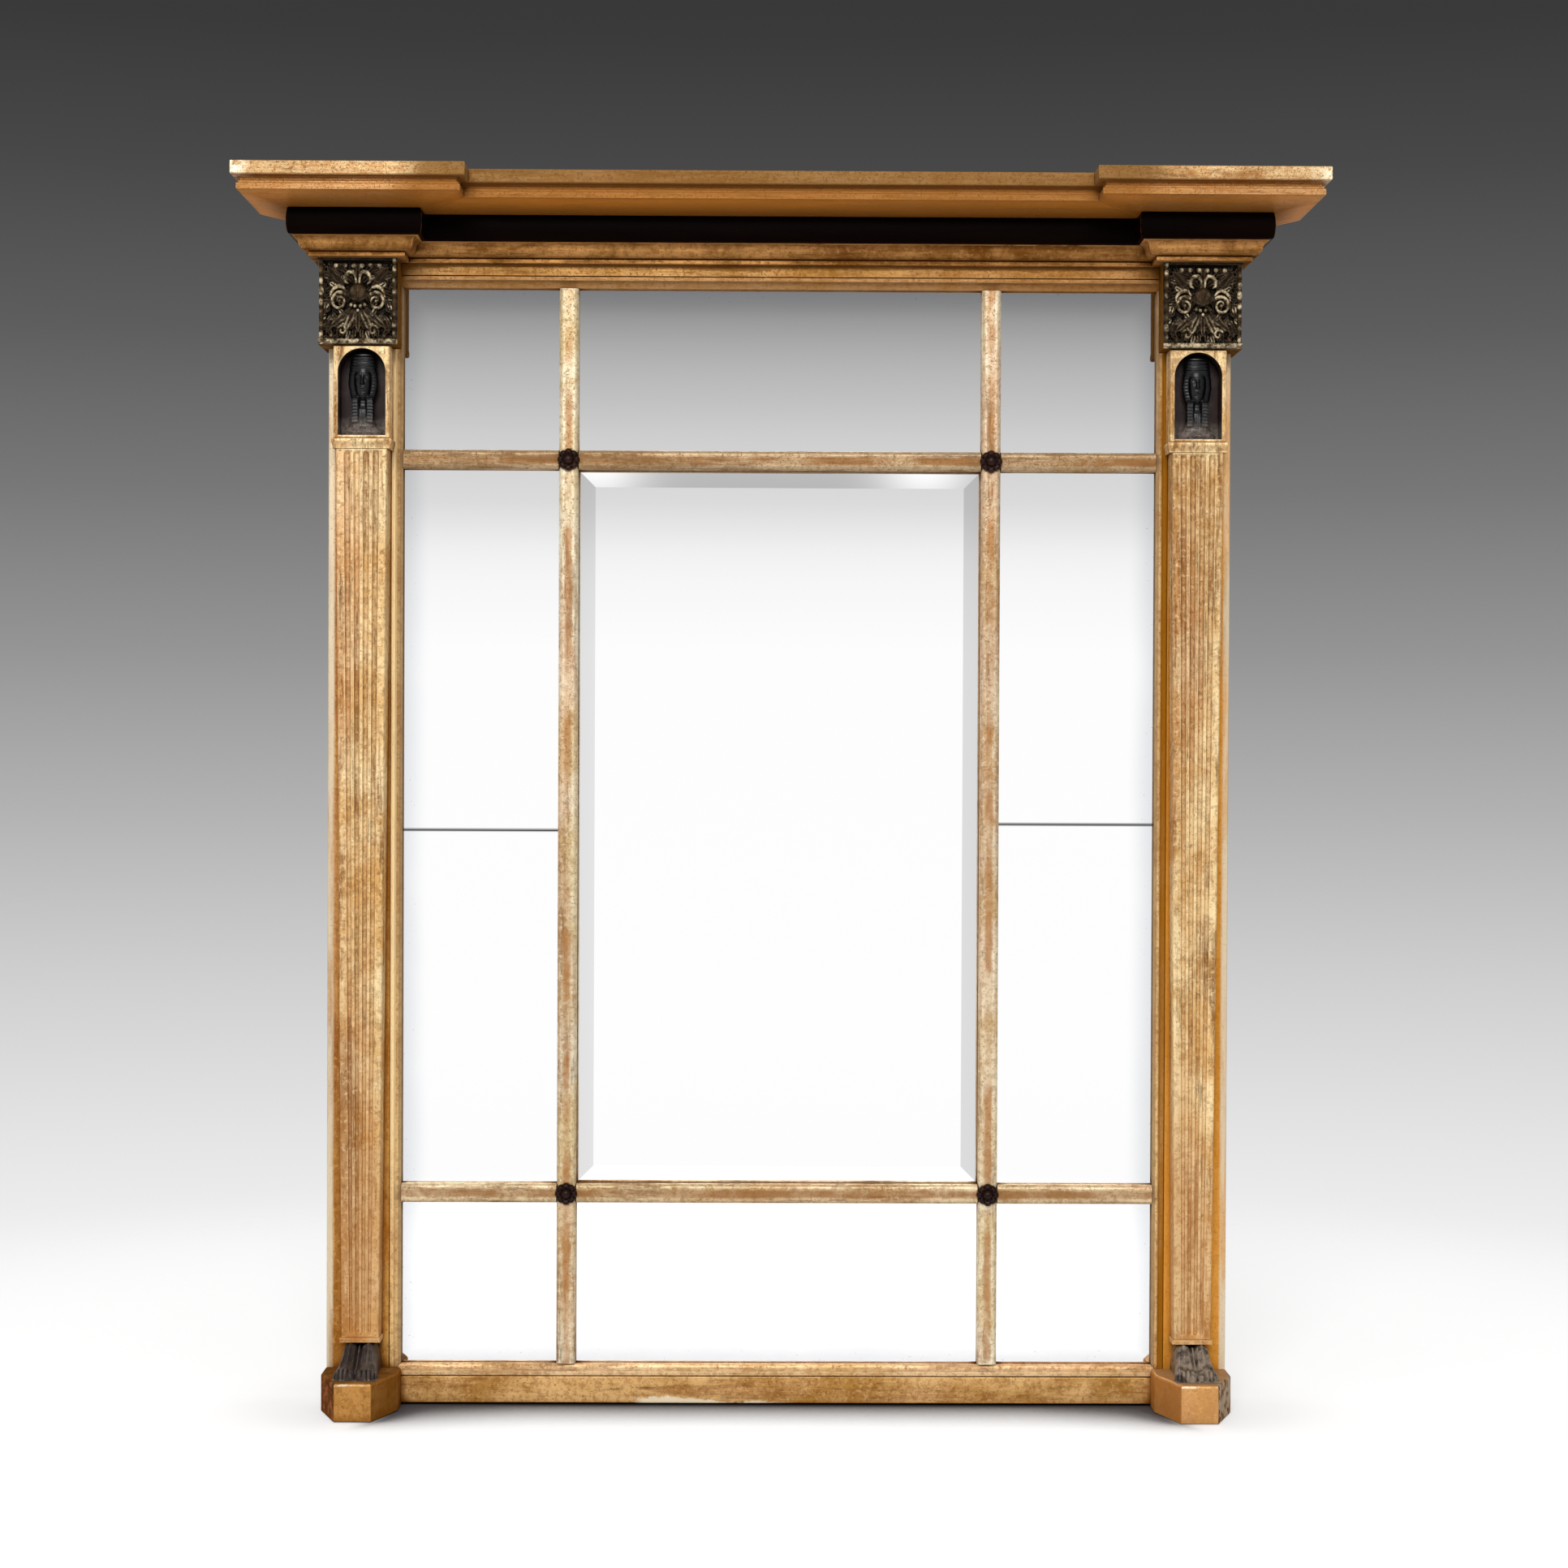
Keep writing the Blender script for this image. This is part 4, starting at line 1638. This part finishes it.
def slotted_screw(centre, back, radius, rise, turn):
    """A domed screw head with a worn slot, standing on a surface that faces backwards."""
    rings = []
    for share, lift in (
        (0.3, -1.2), (0.95, -0.2), (1.0, 0.15), (0.93, 0.5), (0.75, 0.78), (0.5, 0.93), (0.25, 0.99),
        (0.04, 1.0),
    ):
        ring = []
        for k in range(40):
            angle = 2 * math.pi * k / 40
            x, z = radius * share * math.cos(angle), radius * share * math.sin(angle)
            across = abs(x * math.cos(turn) + z * math.sin(turn))
            slot = 0.75 * (1 - min(1, max(0, (across - 0.0004) / 0.00025))) if lift > 0.3 else 0
            ring.append((centre[0] + x, back + rise * (lift - slot), centre[1] + z))
        rings.append(ring)
    return skin(rings)


def nail_head(centre, back, radius):
    rings = []
    for share, lift in ((0.4, -0.5), (1.0, 0.05), (1.0, 0.35), (0.8, 0.6), (0.4, 0.75), (0.05, 0.8)):
        ring = []
        for k in range(14):
            angle = 2 * math.pi * k / 14
            dented = share * radius * (1 + 0.06 * math.sin(3 * angle + centre[0] * 900))
            x, z = dented * math.cos(angle), dented * math.sin(angle)
            ring.append((centre[0] + x, back + radius * 0.5 * lift, centre[1] + z))
        rings.append(ring)
    return skin(rings)


def fixings():
    """Screws through the hanger straps, and the nails round the backboards and the dust board."""
    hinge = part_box("hanger_ring_right")[1].z - HINGE_SET_DOWN
    strap_back = BACK + STRAP_THICKNESS
    screws = []
    for row in (1, 2):
        place = (PILASTER_X, hinge - row * SCREW_SPACING)
        screws.append(slotted_screw(place, strap_back, 3.4 * MM, 1.1 * MM, 0.6 + 1.1 * row))
    corners, faces = several(screws)
    for side, places in (("right", corners), ("left", mirror_over(corners))):
        make_piece(f"hanger_screws_{side}", (places, faces), IRON)
    nails = []
    for number in (1, 2, 3):
        low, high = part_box(f"backboard_{number}")
        for x in np.linspace(low.x + 0.02, high.x - 0.02, 3):
            for z in (low.z + 0.012, high.z - 0.012, (low.z + high.z) / 2):
                shift = 0.002 * noise.noise(Vector((x * 90, z * 90, number)))
                nails.append(nail_head((x + shift, z + shift), high.y, NAIL_RADIUS))
    make_piece("backboard_nails", several(nails), IRON)


for side in ("right", "left"):
    ring_piece(side)
fixings()


# ---------------------------------------------------------------- boards and plates kept from the solids


def keep_node(name, finish, ease=0.0):
    """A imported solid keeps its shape, gets eased edges, and takes its finish."""
    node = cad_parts[name]
    node.data.materials.clear()
    node.data.materials.append(finish)
    if ease:
        weld = node.modifiers.new("joined_corners", "WELD")
        weld.merge_threshold = 0.00001
        edge = node.modifiers.new("eased_edges", "BEVEL")
        edge.width = ease
        edge.segments = 3
        edge.limit_method = "ANGLE"
        edge.angle_limit = math.radians(30)
        edge.use_clamp_overlap = True
        edge.harden_normals = True
        weigh_normals(node)


for side in ("left", "right"):
    keep_node(f"stile_{side}", STILE_GILT, 0.9 * MM)
    keep_node(f"plinth_{side}", PLINTH_GILT, 0.9 * MM)
    keep_node(f"cornice_block_{side}", PINE_LEVEL, 0.5 * MM)
    keep_node(f"hanger_strap_{side}", IRON)
for name in ("rail_bottom", "rail_top"):
    keep_node(name, LEVEL_GILT, 0.9 * MM)
for number in (1, 2, 3):
    keep_node(f"backboard_{number}", PINE_UPRIGHT, 0.6 * MM)
keep_node("dust_board", PINE_LEVEL, 0.6 * MM)
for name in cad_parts:
    if name.startswith("glass_"):
        keep_node(name, MIRROR)


# ---------------------------------------------------------------- floor, light and camera


def pale_floor():
    """A white floor that keeps the mirror's shadow, and fades into the backdrop."""
    material, tree, shader, place = new_finish("pale_floor")
    open_air = add_node(tree, "ShaderNodeAmbientOcclusion", {"Distance": 0.13}, samples=16).outputs["AO"]
    across = unsigned(axes(place)["X"])
    outside = ramped(across, STILE_INNER - 0.012, PILASTER_X + 0.006, 0, 0.88)
    clean = maths("MAXIMUM", maths("MULTIPLY_ADD", open_air, 2.25, -1.16, clamp=True), outside)
    shade = mixed(clean, srgb(80, 78, 80), srgb(215, 215, 215))
    feed(shader, Base_Color=shade, Roughness=0.9, Specular_IOR_Level=0.1)
    path = add_node(tree, "ShaderNodeLightPath").outputs
    seen = maths(
        "MAXIMUM", path["Is Camera Ray"], maths("MAXIMUM", path["Is Glossy Ray"], path["Is Transmission Ray"])
    )
    glow = times(seen, ramped(clean, 0, 1, 0.0, 0.42))
    lit = add_node(tree, "ShaderNodeEmission", {"Color": (1, 1, 1, 1), "Strength": glow}).outputs[0]
    whole = add_node(tree, "ShaderNodeAddShader", {0: shader.outputs[0], 1: lit}).outputs[0]
    clear = add_node(tree, "ShaderNodeBsdfTransparent").outputs[0]
    away = add_node(tree, "ShaderNodeVectorMath", {0: place}, operation="LENGTH").outputs["Value"]
    faded = ramped(away, 0.75, 1.5)
    both = add_node(tree, "ShaderNodeMixShader", {0: faded, 1: whole, 2: clear}).outputs[0]
    feed(tree.nodes["Material Output"], Surface=both)
    mesh = bpy.data.meshes.new("pale_floor")
    size = 3.0
    mesh.from_pydata(
        [(-size, -size, 0), (size, -size, 0), (size, size, 0), (-size, size, 0)], [], [(0, 1, 2, 3)]
    )
    mesh.materials.append(material)
    floor = bpy.data.objects.new("pale_floor", mesh)
    bpy.context.scene.collection.objects.link(floor)
    floor.location.z = -0.0005


def colour_ramp(value, stops):
    """A grey ramp through (place, linear brightness) stops."""
    ramp = add_node(tree_of(value), "ShaderNodeValToRGB", {0: value})
    elements = ramp.color_ramp.elements
    while len(elements) < len(stops):
        elements.new(0.5)
    for element, (place, level) in zip(elements, stops):
        element.position = place
        element.color = (level, level, level, 1)
    return ramp.outputs[0]


def backdrop_and_studio():
    """A plain sweep behind the mirror, the soft studio that its plates reflect, and even light."""
    world = bpy.data.worlds.new("plain_studio")
    bpy.context.scene.world = world
    world.use_nodes = True
    tree = world.node_tree
    background = tree.nodes["Background"]
    towards = add_node(tree, "ShaderNodeTexCoord").outputs["Generated"]
    at = axes(towards)
    path = add_node(tree, "ShaderNodeLightPath").outputs
    level = maths("MULTIPLY_ADD", at["Z"], 1.0, 0.5)
    sweep = colour_ramp(level,
        [(0.0, 1.0), (0.294, 1.0), (0.319, 0.922), (0.372, 0.776), (0.426, 0.617), (0.48, 0.445)]
        + [(0.535, 0.296), (0.589, 0.1845), (0.642, 0.1095), (0.695, 0.0648), (0.74, 0.0423), (0.8, 0.032)],
    )
    depth = maths("MAXIMUM", unsigned(at["Y"]), 0.05)
    slope = maths("DIVIDE", at["Z"], depth)
    climb = maths("MULTIPLY_ADD", slope, 1.0, 0.5, clamp=True)
    stops = [
        (0.0, 0.9), (0.4, 1.0), (0.535, 0.99), (0.558, 0.938), (0.569, 0.887), (0.586, 0.714), (0.6085, 0.623)
    ]
    stops += [(0.62, 0.544), (0.631, 0.478), (0.639, 0.417), (0.648, 0.331), (0.653, 0.264), (0.66, 0.22)]
    stops += [(0.68, 0.24), (0.7, 0.3), (0.76, 0.52), (0.85, 0.75), (1.0, 0.85)]
    studio = colour_ramp(climb, stops)
    sideways = maths("DIVIDE", unsigned(at["X"]), depth)
    turned = ramped(sideways, 0.15, 0.26, 1.0, 0.66)
    turned = times(turned, ramped(sideways, 1.0, 6.0, 1.0, 0.6))
    # two soft lamps, one at each side, that light the ends of the upper bevel
    lamp_x = maths("POWER", maths("DIVIDE", maths("SUBTRACT", sideways, 0.058), 0.016), 2)
    lamp_z = maths("POWER", maths("DIVIDE", maths("SUBTRACT", slope, 0.262), 0.02), 2)
    lamps = times(maths("EXPONENT", times(maths("ADD", lamp_x, lamp_z), -1.0)), 0.6)
    in_front = ramped(at["Y"], 0.02, -0.02)
    lamps = times(lamps, in_front)
    studio_grey = maths("MULTIPLY_ADD", studio, turned, lamps)
    glossy = mixed(in_front, (0.62, 0.62, 0.62, 1), studio_grey)
    seen = maths("MAXIMUM", path["Is Camera Ray"], path["Is Transmission Ray"])
    around = ramped(at["Z"], -0.1, 0.9, 0.3, 0.72)
    colour = mixed(path["Is Glossy Ray"], around, glossy)
    colour = mixed(seen, colour, sweep)
    feed(background, Color=colour, Strength=1.0)


def soft_lamp(name, place, aim, width, height, power):
    lamp = bpy.data.lights.new(name, "AREA")
    lamp.shape = "RECTANGLE"
    lamp.size, lamp.size_y = width, height
    lamp.energy = power
    lit = bpy.data.objects.new(name, lamp)
    bpy.context.scene.collection.objects.link(lit)
    lit.location = place
    lit.rotation_euler = (Vector(aim) - Vector(place)).to_track_quat("-Z", "Y").to_euler()
    lit.visible_camera = False
    return lit


def photograph_camera():
    camera = bpy.data.cameras.new("photograph_view")
    camera.sensor_width = SENSOR_WIDTH
    camera.lens = FOCAL_PIXELS / IMAGE_WIDTH * SENSOR_WIDTH
    camera.clip_start, camera.clip_end = 0.05, 50
    view = bpy.data.objects.new("photograph_view", camera)
    bpy.context.scene.collection.objects.link(view)
    turn = Matrix.Rotation(CAMERA_YAW, 4, "Z") @ Matrix.Rotation(CAMERA_PITCH, 4, "X")
    turn = turn @ Matrix.Rotation(CAMERA_ROLL, 4, "Y") @ Matrix.Rotation(math.pi / 2, 4, "X")
    view.matrix_world = Matrix.Translation(CAMERA_PLACE) @ turn
    bpy.context.scene.camera = view


pale_floor()
backdrop_and_studio()
soft_lamp("key_above_front", (-0.5, -6.0, 3.7), (0, 0, 0.4), 3.6, 2.0, 275)
soft_lamp("fill_from_left", (-7.0, -4.6, 1.4), (0, 0, 0.4), 3.6, 3.6, 36)
photograph_camera()
bpy.context.scene.view_settings.view_transform = "Standard"
